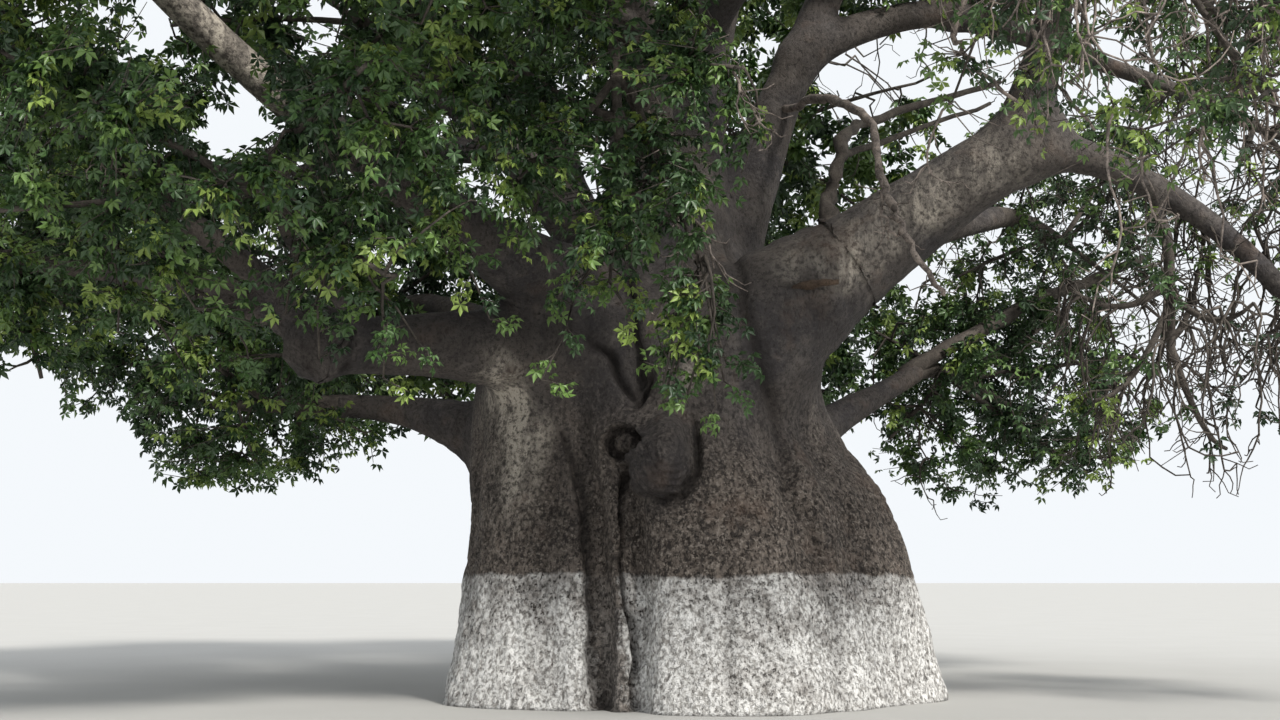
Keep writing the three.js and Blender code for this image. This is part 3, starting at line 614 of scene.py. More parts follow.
def seeded_random(seed):
    """Repeatable random numbers from 0 to 1, the same row of them as the solid part draws."""
    mask = 0xFFFFFFFF
    state = seed & mask

    def draw():
        nonlocal state
        state = (state + 0x6D2B79F5) & mask
        mixed = ((state ^ (state >> 15)) * (state | 1)) & mask
        mixed ^= (mixed + (((mixed ^ (mixed >> 7)) * (mixed | 61)) & mask)) & mask
        return ((mixed ^ (mixed >> 14)) & mask) / (mask + 1)

    return draw


class Limb:
    """A curved, tapering round rod. Its middle line leaves the straight line from root to tip by rise,
    upwards as a parabola, and by crook, sideways as one and a half waves. Its radius falls from the first
    of girth to the second as the share of the length left, raised to the power taper."""

    def __init__(self, root, tip, girth, rise=0.0, crook=0.0, taper=BOUGH_TAPER):
        self.root = np.array(root, float)
        self.chord = np.array(tip, float) - self.root
        self.length = float(np.linalg.norm(self.chord))
        self.girth = girth
        self.rise = rise
        self.crook = crook
        self.taper = taper
        side = np.array([self.chord[1], -self.chord[0], 0.0])
        if np.linalg.norm(side) < 0.05 * self.length:
            side = np.array([1.0, 0.0, 0.0])
        self.side = unit(side)

    def points(self, shares):
        """Points of the middle line at these shares of the length."""
        t = np.asarray(shares, float)[..., None]
        lifted = self.root + self.chord * t + UP * (self.rise * 4 * t * (1 - t))
        return lifted + self.side * (self.crook * np.sin(3 * math.pi * t))

    def heading(self, share):
        """Unit vector along the middle line."""
        return unit(self.points(share + 0.005) - self.points(share - 0.005))

    def radii(self, shares):
        """Radii at these shares of the length."""
        left = np.clip(1 - np.asarray(shares, float), 0, None)
        return self.girth[1] + (self.girth[0] - self.girth[1]) * left**self.taper


def make_limbs():
    """Every bough by name, each with the share of its length where it leaves the trunk's own piece."""
    limbs = {}
    for name, root, tip, girth, rise, collar in TRUNK_BOUGHS:
        limbs[name] = (Limb(root, tip, girth, rise, BOUGH_CROOK), collar)
    for name, parent, share, tip, girth, rise in FORKS:
        root = limbs[parent][0].points(share)
        limbs[name] = (Limb(root, tip, girth, rise, BOUGH_CROOK / 2), 0.0)
    return limbs


LIMBS = make_limbs()
PARENTS = {fork[0]: fork[1] for fork in FORKS}


def trunk_station(height):
    """The trunk's middle and half widths at each height: a smooth cubic through the listed stations."""
    stations = np.array(TRUNK_STATIONS)
    last = len(stations) - 1
    height = np.clip(height, 0, TRUNK_TOP)
    row = np.clip(np.searchsorted(stations[:, 0], height, side="right") - 1, 0, last - 1)
    before, low, high, after = (stations[np.clip(row + step, 0, last)] for step in (-1, 0, 1, 2))
    t = ((height - low[:, 0]) / (high[:, 0] - low[:, 0]))[:, None]
    return smooth_cubic(before, low, high, after, t)[:, 1:].T


def trunk_relief(bearing, height):
    """How far the trunk stands out in waves, the root lobes, and in by bell-shaped furrows, the folds."""
    relief = np.zeros(len(height))
    for count, stand, turn in ROOT_LOBES:
        relief += stand * np.exp(-height / ROOT_LOBE_FADE) * np.cos(count * np.radians(bearing) + turn)
    for low_bearing, low, high_bearing, high, spread, depth in FOLDS:
        middle = low_bearing + (high_bearing - low_bearing) * (height - low) / (high - low)
        away = (bearing - middle + 180) % 360 - 180
        ends = smoothstep(low, low + FOLD_END, height) * (1 - smoothstep(high - FOLD_END, high, height))
        relief -= depth * ends * bell(away, spread)
    return relief


def trunk_point(bearing, height):
    """The surface point at a bearing in degrees and a height: an ellipse whose half widths take the
    relief."""
    middle_x, middle_y, half_width, half_depth = trunk_station(height)
    relief = trunk_relief(bearing, height)
    angle = np.radians(bearing)
    x = middle_x + (half_width + relief) * np.cos(angle)
    y = middle_y + (half_depth + relief) * np.sin(angle)
    return np.stack([x, y, height], axis=1)


def trunk_gap(points):
    """How far each point lies outside the trunk, along the level line from the trunk's middle."""
    middle_x, middle_y, half_width, half_depth = trunk_station(points[:, 2])
    away_x, away_y = points[:, 0] - middle_x, points[:, 1] - middle_y
    angle = np.arctan2(away_y / half_depth, away_x / half_width)
    relief = trunk_relief(np.degrees(angle), np.clip(points[:, 2], 0, TRUNK_TOP))
    surface = np.hypot((half_width + relief) * np.cos(angle), (half_depth + relief) * np.sin(angle))
    return np.maximum(np.hypot(away_x, away_y) - surface, points[:, 2] - TRUNK_TOP)


def limb_gap(points, limb, stretches=14):
    """How far each point lies outside a limb, and the limb's radius there: the least, over the straight
    stretches of its middle line, of the distance to the stretch less the radius."""
    shares = np.linspace(0, 1, stretches + 1)
    line, radii = limb.points(shares), limb.radii(shares)
    gap = np.full(len(points), np.inf)
    radius = np.full(len(points), radii[-1])
    for start, end, wide, narrow in zip(line[:-1], line[1:], radii[:-1], radii[1:]):
        t, away = on_stretch(points, start, end)
        here = wide + (narrow - wide) * t
        distance = away - here
        radius = np.where(distance < gap, here, radius)
        gap = np.minimum(gap, distance)
    return gap, radius


def smooth_join(first, second, reach):
    """The lesser of two distances, with the corner between them filled over this reach."""
    overlap = np.clip(reach - np.abs(first - second), 0, None) / reach
    return np.minimum(first, second) - overlap**2 * reach / 4


def lobe_gap(points, lobe):
    """About how far each point lies outside an ellipsoid, which is its middle and its half sizes."""
    centre, size = lobe
    return (np.linalg.norm((points - centre) / size, axis=1) - 1) * min(size)


def swollen_gap(points, gap):
    """The lobes of the swelling and the knobs joined on to a distance."""
    for lobe in LOBES:
        gap = smooth_join(gap, lobe_gap(points, lobe), LOBE_JOINT)
    return gap


def nearness(gap):
    """How much wood counts in a mixed girth: e to the power of minus its distance in mixing lengths."""
    return np.exp(-np.clip(gap, -0.5, 4) / GIRTH_MIX)


def wood_gap(points):
    """How far each point lies outside the whole of the wood, with trunk and limbs grown into each other,
    and the radius of the wood there, weighted towards whatever is nearest."""
    gap = trunk_gap(points)
    weight = nearness(gap)
    girth = TRUNK_GIRTH * weight
    for limb, collar in LIMBS.values():
        line = limb.points(np.linspace(0, 1, 9))
        margin = limb.girth[0] + LIMB_MARGIN
        near = np.all((points > line.min(0) - margin) & (points < line.max(0) + margin), axis=1)
        if not near.any():
            continue
        distance, radius = limb_gap(points[near], limb)
        share, least, most = JOINTS["trunk" if collar else "fork"]
        gap[near] = smooth_join(gap[near], distance, np.clip(share * radius, least, most))
        pull = nearness(distance)
        weight[near] += pull
        girth[near] += pull * radius
    return swollen_gap(points, gap), girth / np.maximum(weight, 1e-12)


def onto_wood(points, rounds=3, nudge=0.004, longest=0.25, flattest=0.15):
    """Points moved on to the wood's surface down the slope of its distance, round by round."""
    moved = points.copy()
    for _ in range(rounds):
        here = wood_gap(moved)[0]
        slopes = [(wood_gap(moved + nudge * axis)[0] - here) / nudge for axis in np.eye(3)]
        slope = np.stack(slopes, axis=1)
        steep = np.maximum((slope**2).sum(axis=1, keepdims=True), flattest)
        moved -= np.clip(here, -longest, longest)[:, None] * slope / steep
    return moved


def line_share(points, path, half_width):
    """The share given at the points of a line drawn on the front of the tree, falling as a bell curve to
    each side of it."""
    flat = points[:, [0, 2]]
    share = np.zeros(len(points))
    for start, end in zip(path[:-1], path[1:]):
        t, away = on_stretch(flat, np.array(start[:2]), np.array(end[:2]))
        share = np.maximum(share, (start[2] + (end[2] - start[2]) * t) * bell(away, half_width))
    return share * smoothstep(*LINE_FRONT, points[:, 1])


def swelling_share(points):
    """1 on the drooping swelling, and falling to 0 a hand's breadth outside it."""
    gaps = [lobe_gap(points, lobe) for lobe in SWELLING]
    return smoothstep(SWELLING_HALO, 0.0, np.min(gaps, axis=0))


def bark_relief(points, girth, fine=False):
    """How far the bark stands out: lumps, long wrinkles and pits of noise that fade on thin limbs, less the
    creases and hollows. Returns it with the shares of crease, of rough bark and of hollow at each point, of
    which crease and hollow paint shade into the bark's colour."""
    stout = np.clip(girth, 0.08, 1.0)
    height = points[:, 2] + ROUGH_BARK["ragged"] * lattice_noise(points, *NOISES["rough edge"])
    rough = smoothstep(*ROUGH_BARK["height"], height) * smoothstep(*ROUGH_BARK["girth"], girth)
    rough *= 1 - 0.6 * swelling_share(points)
    relief = np.zeros(len(points))
    for kind, (size, stand) in enumerate(LUMPS):
        relief += stout * stand * lattice_noise(points, size, SEEDS["lumps"] + kind)
    size, stand = WRINKLES
    relief += stout * stand * lattice_noise(points * (1, 1, 0.3), size, SEEDS["wrinkles"])
    for kind, (size, stand) in enumerate(PITS[: 2 if fine else 1]):
        pits = np.clip(np.abs(lattice_noise(points, size, SEEDS["pits"] + kind)) * 2.2, 0, 1)
        relief -= stand * (0.25 + 0.75 * rough) * stout * (1 - pits)
    creased, cut, hollow = np.zeros((3, len(points)))
    strayed = points + 0.05 * lattice_noise(points, *NOISES["crease paths"])[:, None]
    for half_width, depth, path in CREASES:
        share = line_share(strayed, path, half_width) * smoothstep(0.5, 1.2, girth)
        cut = np.maximum(cut, depth * share)
        # A crease's share, larger where it is deep for its width, paints shade into the bark's colour.
        creased = np.maximum(creased, share * min(1.0, depth / half_width / 1.6))
    relief -= cut
    for middle, radius, depth in HOLLOWS:
        share = smoothstep(radius, 0.5 * radius, np.linalg.norm(strayed - middle, axis=1))
        relief -= share * depth * (1 + 0.5 * lattice_noise(points, *NOISES["hollow floors"]))
        # The hollow's share paints shade into the bark's colour.
        hollow = np.maximum(hollow, share)
    return relief + swelling_wrinkles(points), creased, rough, hollow


def knot_relief(points):
    """The knot, seen from the front as rings: a rim that stands out as a bell curve, a gap inside it that is
    painted dark as shade, and a rough filling that rises again in the middle. Returns its relief and the
    share of painted shade in its gap."""
    across, up = points[:, 0] - KNOT["at"][0], points[:, 2] - KNOT["at"][1]
    away = np.hypot(KNOT["narrow"] * across, up)
    away += 0.02 * lattice_noise(points, *NOISES["knot outline"])
    gap = smoothstep(KNOT["rim"] - 0.01, KNOT["rim"] - 0.035, away)
    core = smoothstep(KNOT["core"], KNOT["core"] - 0.06, away)
    knobs = 0.035 * lattice_noise(points, *NOISES["knot knobs"])
    knobs += 0.02 * lattice_noise(points, *NOISES["knot grain"])
    relief = KNOT["stand"] * bell(away - KNOT["rim"], KNOT["rim_width"]) - KNOT["deep"] * gap
    relief += core * (0.7 * KNOT["deep"] + knobs)
    relief += KNOT["swell"] * bell(away, KNOT["swell_width"]) * (points[:, 1] < FRONT)
    # The gap's share is painted dark as shade.
    return relief, gap * (1 - 0.4 * core)


def swelling_wrinkles(points):
    """Skin folds round the lower left of the swelling: a wave in the distance from its middle."""
    across = points[:, 0] - SWELLING_WRINKLES["at"][0]
    up = points[:, 2] - SWELLING_WRINKLES["at"][1]
    distance = np.hypot(across, up * 0.9) + 0.03 * lattice_noise(points, *NOISES["swelling folds"])
    start, end = SWELLING_WRINKLES["from"], SWELLING_WRINKLES["to"]
    where = smoothstep(start, start + 0.1, distance) * smoothstep(end, end - 0.2, distance)
    where *= smoothstep(0.35, 0.0, up) * smoothstep(0.4, 0.0, across) * (points[:, 1] < FRONT)
    wave = np.sin(2 * math.pi * distance / SWELLING_WRINKLES["apart"])
    return SWELLING_WRINKLES["stand"] * where * wave


def inside_patch(points):
    """How far each point is inside the border of the scar patch, seen from the front: the distance to the
    nearer side, with rounded corners, less than nothing outside it and on the back of the tree."""
    middle, half, corner = (np.array(SCAR_PATCH[key]) for key in ("middle", "half", "corner"))
    short = np.abs(points[:, [0, 2]] - middle) - half + corner
    outside = np.linalg.norm(np.clip(short, 0, None), axis=1) + np.minimum(short.max(axis=1), 0)
    return np.where(points[:, 1] < PATCH_FRONT, corner - outside, -1.0)


def pale_and_painted_light_share(points):
    """How pale the bark is along the pale patches, which are partly pale bark and partly painted sunlight,
    less the painted shade along the shade patches and on the swelling's lower part, flecked by noise."""
    # Painted shade on the swelling's lower part.
    stained = 0.7 * swelling_share(points) * smoothstep(3.75, 3.2, points[:, 2])
    pale = np.zeros(len(points))
    strayed = points + 0.12 * lattice_noise(points, *NOISES["patch paths"])[:, None]
    for half_width, path in PALE_AND_SUNLIT_PATCHES:
        pale = np.maximum(pale, line_share(strayed, path, half_width))
    for half_width, path in PAINTED_SHADE_PATCHES:
        stained = np.maximum(stained, line_share(strayed, path, half_width))
    return (pale - stained) * (0.75 + 0.35 * lattice_noise(points * (1, 1, 0.4), *NOISES["patch flecks"]))


def grid_faces(rows, columns):
    """Four-cornered faces of a grid of points that closes round its columns."""
    low = np.arange(rows - 1)[:, None] * columns
    left = np.arange(columns)
    right = (left + 1) % columns
    corners = [low + left, low + right, low + columns + right, low + columns + left]
    return np.stack(corners, axis=-1).reshape(-1, 4)


def rod_faces(rods, rings, sides):
    """Faces of this many rods laid end to end in one array: four-cornered walls and a flat end each."""
    walls = grid_faces(rings, sides)
    starts = np.arange(rods)[:, None, None] * (rings * sides)
    foot = np.arange(sides)[::-1]
    head = (rings - 1) * sides + np.arange(sides)
    return (starts + walls).reshape(-1, 4), (starts + np.stack([foot, head])).reshape(-1, sides)


def rods(lines, radii, sides):
    """Tapering rods along lines of points: each ring is a circle across the line, its first point turned
    the same way. Takes lines (rods, rings, 3) and radii (rods, rings), and gives points and faces."""
    across, over = framed(unit(np.gradient(lines, axis=1)))
    turn = 2 * math.pi * np.arange(sides) / sides
    ring = np.cos(turn)[:, None] * across[:, :, None] + np.sin(turn)[:, None] * over[:, :, None]
    points = lines[:, :, None, :] + radii[:, :, None, None] * ring
    walls, ends = rod_faces(len(lines), lines.shape[1], sides)
    return points.reshape(-1, 3), walls, ends


def tapering(lines, kind):
    """Rods along lines of one kind of twig, each from the kind's first radius to its second."""
    radii = np.linspace(*kind["girth"], lines.shape[1])
    return rods(lines, np.tile(radii, (len(lines), 1)), kind["sides"])


def new_object(name, data):
    """An object in the scene that shows this data."""
    made = bpy.data.objects.new(name, data)
    bpy.context.scene.collection.objects.link(made)
    return made


def mesh_piece(name, points, face_groups, smooth=True):
    """A mesh object at the origin from an array of points and arrays of faces of equal corners."""
    mesh = bpy.data.meshes.new(name)
    mesh.vertices.add(len(points))
    mesh.vertices.foreach_set("co", np.asarray(points, np.float32).ravel())
    corners = np.concatenate([faces.ravel() for faces in face_groups]).astype(np.int32)
    counts = np.concatenate([np.full(len(faces), faces.shape[1]) for faces in face_groups])
    mesh.loops.add(len(corners))
    mesh.loops.foreach_set("vertex_index", corners)
    mesh.polygons.add(len(counts))
    mesh.polygons.foreach_set("loop_start", (np.cumsum(counts) - counts).astype(np.int32))
    mesh.polygons.foreach_set("use_smooth", np.full(len(counts), smooth))
    mesh.update(calc_edges=True)
    return new_object(name, mesh)


def remeshed(piece, voxel):
    """The piece's parts melted into one closed skin of even squares, as arrays of points and faces."""
    remesh = piece.modifiers.new("skin", "REMESH")
    remesh.mode = "VOXEL"
    remesh.voxel_size = voxel
    mesh = piece.evaluated_get(bpy.context.evaluated_depsgraph_get()).to_mesh()
    points = np.zeros(len(mesh.vertices) * 3, np.float32)
    mesh.vertices.foreach_get("co", points)
    corners = np.zeros(len(mesh.loops), np.int32)
    mesh.loops.foreach_get("vertex_index", corners)
    return points.reshape(-1, 3).astype(float), corners.reshape(-1, 4).astype(np.int64)


def surface_normals(points, quads):
    """Unit normal at each point: the summed cross products of the diagonals of the faces round it."""
    first, second, third, fourth = (points[quads[:, corner]] for corner in range(4))
    diagonals = np.cross(third - first, fourth - second)
    normals = np.zeros_like(points)
    for corner in range(4):
        for axis in range(3):
            normals[:, axis] += np.bincount(quads[:, corner], diagonals[:, axis], minlength=len(points))
    return unit(normals)


def limb_rod(limb, start, end, sides, rings):
    """One closed rod along a limb, between two shares of its length."""
    shares = np.linspace(start, end, rings)
    return rods(limb.points(shares)[None], limb.radii(shares)[None], sides)


def join_parts(parts):
    """Points and faces of several parts in one numbering, the faces grouped by their corners."""
    offset = 0
    points = []
    groups = {}
    for part_points, *part_faces in parts:
        for faces in part_faces:
            groups.setdefault(faces.shape[1], []).append(faces + offset)
        points.append(part_points)
        offset += len(part_points)
    return np.concatenate(points), [np.concatenate(faces) for faces in groups.values()]


def trunk_body():
    """The trunk as a grid over bearing and height, shut by a flat fan of one face at each end."""
    rows, columns = TRUNK_GRID
    heights = np.repeat(np.linspace(0, TRUNK_TOP, rows), columns)
    bearings = np.tile(np.arange(columns) * 360 / columns, rows)
    points = trunk_point(bearings, heights)
    ends = np.stack([np.arange(columns)[::-1], (rows - 1) * columns + np.arange(columns)])
    return points, grid_faces(rows, columns), ends


def on_cut(points, limb, share, voxel):
    """True on the flat cut across a limb at this share of its length, but for the cut's rim."""
    away = points - limb.points(share)
    along = away @ limb.heading(share)
    across = np.linalg.norm(away - along[:, None] * limb.heading(share), axis=1)
    return (np.abs(along) < 0.6 * voxel) & (across < limb.radii(share) - 0.5 * voxel)


def without(quads, points, dropped):
    """The faces that touch none of the dropped points, and the points that they use, numbered anew."""
    quads = quads[~dropped[quads].any(axis=1)]
    used = np.zeros(len(points), bool)
    used[quads] = True
    numbers = np.cumsum(used) - 1
    return numbers[quads], points[used]


def close_holes(piece):
    """Shuts every open end of the skin with one flat face."""
    body = bmesh.new()
    body.from_mesh(piece.data)
    rims = [edge for edge in body.edges if edge.is_boundary]
    bmesh.ops.holes_fill(body, edges=rims, sides=0)
    body.to_mesh(piece.data)
    body.free()


def keep_shares(piece, shares):
    """Keeps named shares on the piece, point by point, for its material."""
    for mask, values in shares.items():
        layer = piece.data.attributes.new(mask, "FLOAT", "POINT")
        layer.data.foreach_set("value", values.astype(np.float32))


def skin_of(points, quads, fine=False):
    """The skin's normals, its bark's relief and the shares that its material needs."""
    normals = surface_normals(points, quads)
    relief, creased, rough, hollow = bark_relief(points, wood_gap(points)[1], fine)
    # The crease and hollow shares paint shade into the bark's colour; the pale share gives pale bark with
    # painted sunlight, less painted shade.
    shares = {"crease": creased, "rough": rough, "hollow": hollow, "pale": pale_and_painted_light_share(points)}
    return normals, relief, shares


def dress_wood(name, points, quads, sunk):
    """A piece of bark: the skin moved on to the wood's surface, then out and in by the bark's relief along
    its normals and in by how far it is sunk, straight back behind the scars' own skin, and closed."""
    points = onto_wood(points)
    normals, relief, shares = skin_of(points, quads)
    behind = smoothstep(SCAR_PATCH["fade"], 3 * SCAR_PATCH["fade"], inside_patch(points))
    relief *= smoothstep(0.0, 0.05, points[:, 2]) * (1 - behind)
    points = points + (relief - sunk(points))[:, None] * normals
    points[:, 1] += SCAR_PATCH["behind"] * behind
    points[:, 2] = np.maximum(points[:, 2], 0)
    piece = mesh_piece(name, points, [quads])
    keep_shares(piece, shares)
    close_holes(piece)
    return piece


def backed(points, quads, thickness):
    """A sheet closed by a back: its own copy moved straight back and turned round, and a wall along every
    side of a face that no other face shares."""
    count = len(points)
    back = points + (0, thickness, 0)
    sides = np.concatenate([quads[:, [corner, (corner + 1) % 4]] for corner in range(4)])
    is_open = ~np.isin(sides @ [count, 1], sides @ [1, count])
    start, end = sides[is_open].T
    walls = np.stack([end, start, start + count, end + count], axis=1)
    return np.concatenate([points, back]), np.concatenate([quads, quads[:, ::-1] + count, walls])


def make_scar_patch(start_depth=-3.4, rounds=16, share=0.85, limits=(-0.1, 0.4)):
    """The finer skin over the scars: a grid across and up, dropped on to the wood from the front in rounds
    that each go a share of the way left, with the bark's relief and the knot's. Its border dips under the
    trunk's own skin, and its back lies behind it."""
    middle, half = (np.array(SCAR_PATCH[key]) for key in ("middle", "half"))
    columns, rows = (2 * half / SCAR_PATCH["square"]).astype(int)
    across = middle[0] + half[0] * np.linspace(-1, 1, columns)
    up = middle[1] + half[1] * np.linspace(-1, 1, rows)
    points = np.stack(np.broadcast_arrays(across[None, :], start_depth, up[:, None]), axis=-1)
    points = points.reshape(-1, 3).copy()
    for _ in range(rounds):
        points[:, 1] += np.clip(share * wood_gap(points)[0], *limits)
    corner = np.arange(rows - 1)[:, None] * columns + np.arange(columns - 1)
    quads = np.stack([corner, corner + 1, corner + columns + 1, corner + columns], axis=-1).reshape(-1, 4)
    quads, points = without(quads, points, inside_patch(points) < 0)
    normals, relief, shares = skin_of(points, quads, fine=True)
    knot, knot_hollow = knot_relief(points)
    # The knot's gap takes painted shade, as the hollows do.
    shares["hollow"] = np.maximum(shares["hollow"], knot_hollow)
    under = SCAR_PATCH["dip"] * smoothstep(SCAR_PATCH["fade"], 0.0, inside_patch(points))
    points = points + (relief + knot - under)[:, None] * normals
    points, quads = backed(points, quads, SCAR_PATCH["thick"])
    piece = mesh_piece("healed_scars", points, [quads])
    keep_shares(piece, {mask: np.tile(values, 2) for mask, values in shares.items()})
    return piece


def drop(piece):
    """Removes a piece that only served to make another."""
    mesh = piece.data
    bpy.data.objects.remove(piece)
    bpy.data.meshes.remove(mesh)


def fineness(depths):
    """How much finer than even the trunk's squares are at these depths, by an S-curve from front to back."""
    half = (FINENESS["front"] - FINENESS["back"]) / 2
    return FINENESS["back"] + half * (1 - np.tanh(depths / FINENESS["over"]))


def skin_over(name, parts, voxel, stretch=None):
    """One skin over several parts, as points and faces. It is spread across and up by the stretch at each
    depth while it is made, and drawn together again."""
    points, faces = join_parts(parts)
    if stretch:
        points[:, [0, 2]] *= stretch(points[:, 1])[:, None]
    rough = mesh_piece(name + "_parts", points, faces)
    points, quads = remeshed(rough, voxel)
    drop(rough)
    if stretch:
        points[:, [0, 2]] /= stretch(points[:, 1])[:, None]
    return points, quads


def make_trunk():
    """The trunk with the collars of its boughs, in one skin. Past the seam with its bough each collar goes
    on a little, under the bough's skin, and behind the scars the skin lies back."""
    collars = [(limb, collar) for limb, collar in LIMBS.values() if collar]
    ends = [(limb, collar + LAP["length"] / limb.length) for limb, collar in collars]
    parts = [trunk_body()] + [limb_rod(limb, 0, end, *COLLAR_ROD) for limb, end in ends]
    points, quads = skin_over("trunk", parts, VOXEL["trunk"], fineness)
    hidden = points[:, 2] < FOOT
    is_foot = np.zeros(len(points), bool)
    is_foot[quads[~hidden[quads].all(axis=1)]] = True
    hidden &= ~is_foot
    for limb, end in ends:
        hidden |= on_cut(points, limb, end, 0.75 * VOXEL["trunk"])
    quads, points = without(quads, points, hidden)
    points[points[:, 2] < FOOT, 2] = 0

    def sunk(places):
        depth = np.zeros(len(places))
        for limb, collar in collars:
            away = places - limb.points(collar)
            reach = LAP_NEAR["radii"] * limb.radii(collar) + LAP_NEAR["more"]
            beyond = smoothstep(0.0, LAP["over"], away @ limb.heading(collar))
            near = np.linalg.norm(away, axis=1) < reach
            depth = np.maximum(depth, LAP["under"] * beyond * near)
        return depth

    return dress_wood("trunk_bark", points, quads, sunk)


def make_bough_family(first):
    """A bough with every bough that forks from it, in one skin. It starts inside the trunk's collar, a
    little under the collar's surface."""
    family = [first]
    for name, parent in PARENTS.items():
        if parent in family:
            family.append(name)
    limb, collar = LIMBS[first]
    start = collar - LAP["bough"] / limb.length
    parts = [limb_rod(limb, start, 1, *BOUGH_ROD)]
    parts += [limb_rod(LIMBS[name][0], 0, 1, *FORK_ROD) for name in family[1:]]
    points, quads = skin_over(first, parts, VOXEL["bough"])
    quads, points = without(quads, points, on_cut(points, limb, start, VOXEL["bough"]))

    def sunk(places):
        away = places - limb.points(collar)
        near = np.linalg.norm(away, axis=1) < LAP_NEAR["reach"]
        return LAP["under"] * smoothstep(0.0, LAP["over"], -(away @ limb.heading(collar))) * near

    return dress_wood(first + "_bark", points, quads, sunk), family


def make_stem(limb, middle, reach):
    """The stem of a mass: a curve from its bough's tip, along the bough's own line, to the mass's heart."""
    start = limb.points(1.0)
    bend = start + limb.heading(1.0) * STEM["bend"] * np.linalg.norm(middle - start)
    heart = middle - UP * STEM["drop"] * reach[2]
    return lambda shares: parabola(start, bend, heart, np.asarray(shares, float)[..., None])


class Mass:
    """One mass of foliage: the ellipsoid that it reaches to, its stem and its seeded draws."""

    def __init__(self, index, bough, middle, reach, weep, in_leaf, thickness, hangers, leaflet):
        self.bough, self.limb = bough, LIMBS[bough][0]
        self.middle, self.reach = np.array(middle), np.array(reach)
        self.weep, self.in_leaf, self.thickness = weep, in_leaf, thickness
        self.hangers, self.leaflet = hangers, leaflet
        self.stem = make_stem(self.limb, self.middle, self.reach)
        self.draw = seeded_random(index + 1)
        self.rng = np.random.default_rng(index + 1)


def reach_shares(points):
    """How far each point is from each mass's middle, as a share of that mass's reach."""
    shares = [np.linalg.norm((points - mass.middle) / mass.reach, axis=-1) for mass in CROWN]
    return np.stack(shares, axis=-1)


def in_own_space(points, mass, limit=1.0):
    """True where a point is inside this share of the mass's reach and nearer to its middle than to any
    other's."""
    shares = reach_shares(points)
    index = CROWN.index(mass)
    own = shares[..., index].copy()
    shares[..., index] = np.inf
    return (own <= limit) & (own < shares.min(axis=-1) - SPACE_MARGIN)


def main_twig_lines(mass):
    """The main twigs leave the stem in turn towards evenly spread points of the mass's outline, each as far
    as the longest span that keeps to the mass's own space. Gives their limbs. Two draws of each are the
    solid part's and not used here."""
    twigs = []
    rise = TWIG["arch"] - TWIG["sag"] * mass.weep
    for i in range(TWIG["count"]):
        level = 1 - (2 * (i + 0.5)) / TWIG["count"]
        outward = direction(level, i * GOLDEN_ANGLE + mass.draw()) * mass.reach
        root = mass.stem(TWIG["from"] + (TWIG["to"] - TWIG["from"]) * mass.draw())
        mass.draw()
        mass.draw()
        for span in TWIG_SPANS:
            twig = Limb(root, mass.middle + outward * span, TWIG["girth"], rise, 0, 1)
            if in_own_space(twig.points([0.5, 0.8, 1.0]), mass).all():
                twigs.append(twig)
                break
    return twigs


def spread_points(mass, density):
    """Points spread through the mass's reach, evenly by the golden-ratio sequence in three dimensions and
    denser towards the outline, kept to the mass's own space. The outline bulges and dips by noise."""
    count = int(4 / 3 * math.pi * np.prod(mass.reach) * density)
    even = (mass.rng.random(3) + np.arange(count)[:, None] * EVEN_STEPS) % 1
    outward = direction(2 * even[:, 0] - 1, 2 * math.pi * even[:, 1]) * mass.reach
    uneven = lattice_noise(mass.middle + outward, OUTLINE["size"], SEEDS["outline"])
    bulge = 1 + OUTLINE["bulge"] * np.maximum(uneven, OUTLINE["dip"])
    points = mass.middle + outward * (even[:, 2:] ** (1 / OUTLINE["crowding"])) * bulge[:, None]
    return points[in_own_space(points, mass, 1 + OUTLINE["bulge"])]


def nearest_carriers(targets, carriers, heart, weep):
    """For each target the carrier point to grow from: the nearest, where a carrier that is further out than
    the target costs more, and in a weeping mass one that is lower than the target does too."""
    gap = np.linalg.norm(targets[:, None] - carriers[None], axis=2)
    carriers_out, targets_out = (np.linalg.norm(points - heart, axis=1) for points in (carriers, targets))
    further = np.clip(carriers_out[None] - targets_out[:, None], 0, None)
    lower = np.clip(targets[:, 2][:, None] - carriers[:, 2][None] + 0.2, 0, None)
    best = (gap + 0.7 * further + 2.5 * weep * lower).argmin(axis=1)
    return best, gap[np.arange(len(targets)), best]


def twig_curves(roots, tips, headings, rng, steps, weep, bend=0.35, wander=0.05):
    """Curves from roots to tips that leave along headings, as parabolas with one control point, bent down
    at their far part as the mass weeps, with small seeded kinks between."""
    span = np.linalg.norm(tips - roots, axis=1, keepdims=True)
    control = roots + headings * span * bend + UP * span * (0.12 + 0.3 * weep)
    t = np.linspace(0, 1, steps + 1)[:, None]
    lines = parabola(roots[:, None], control[:, None], tips[:, None], t)
    kinks = rng.normal(0, 1, lines.shape) * span[:, None] * wander
    kinks[:, [0, -1]] = 0
    return lines + kinks


def carriers_of(*kinds):
    """Points that twigs may grow from: those along each kind of curve past a share of its length, with the
    unit direction of the curve at each."""
    points, ways = [], []
    for lines, first_share in kinds:
        keep = np.linspace(0, 1, lines.shape[1]) >= first_share
        points.append(lines[:, keep].reshape(-1, 3))
        ways.append(unit(np.gradient(lines, axis=1))[:, keep].reshape(-1, 3))
    return np.concatenate(points), np.concatenate(ways)


def clear_of_wood(lines):
    """True for curves whose far half stays clear of trunk and boughs."""
    middles, tips = lines[:, lines.shape[1] // 2], lines[:, -1]
    return np.all([wood_gap(places)[0] > WOOD_CLEARANCE for places in (middles, tips)], axis=0)


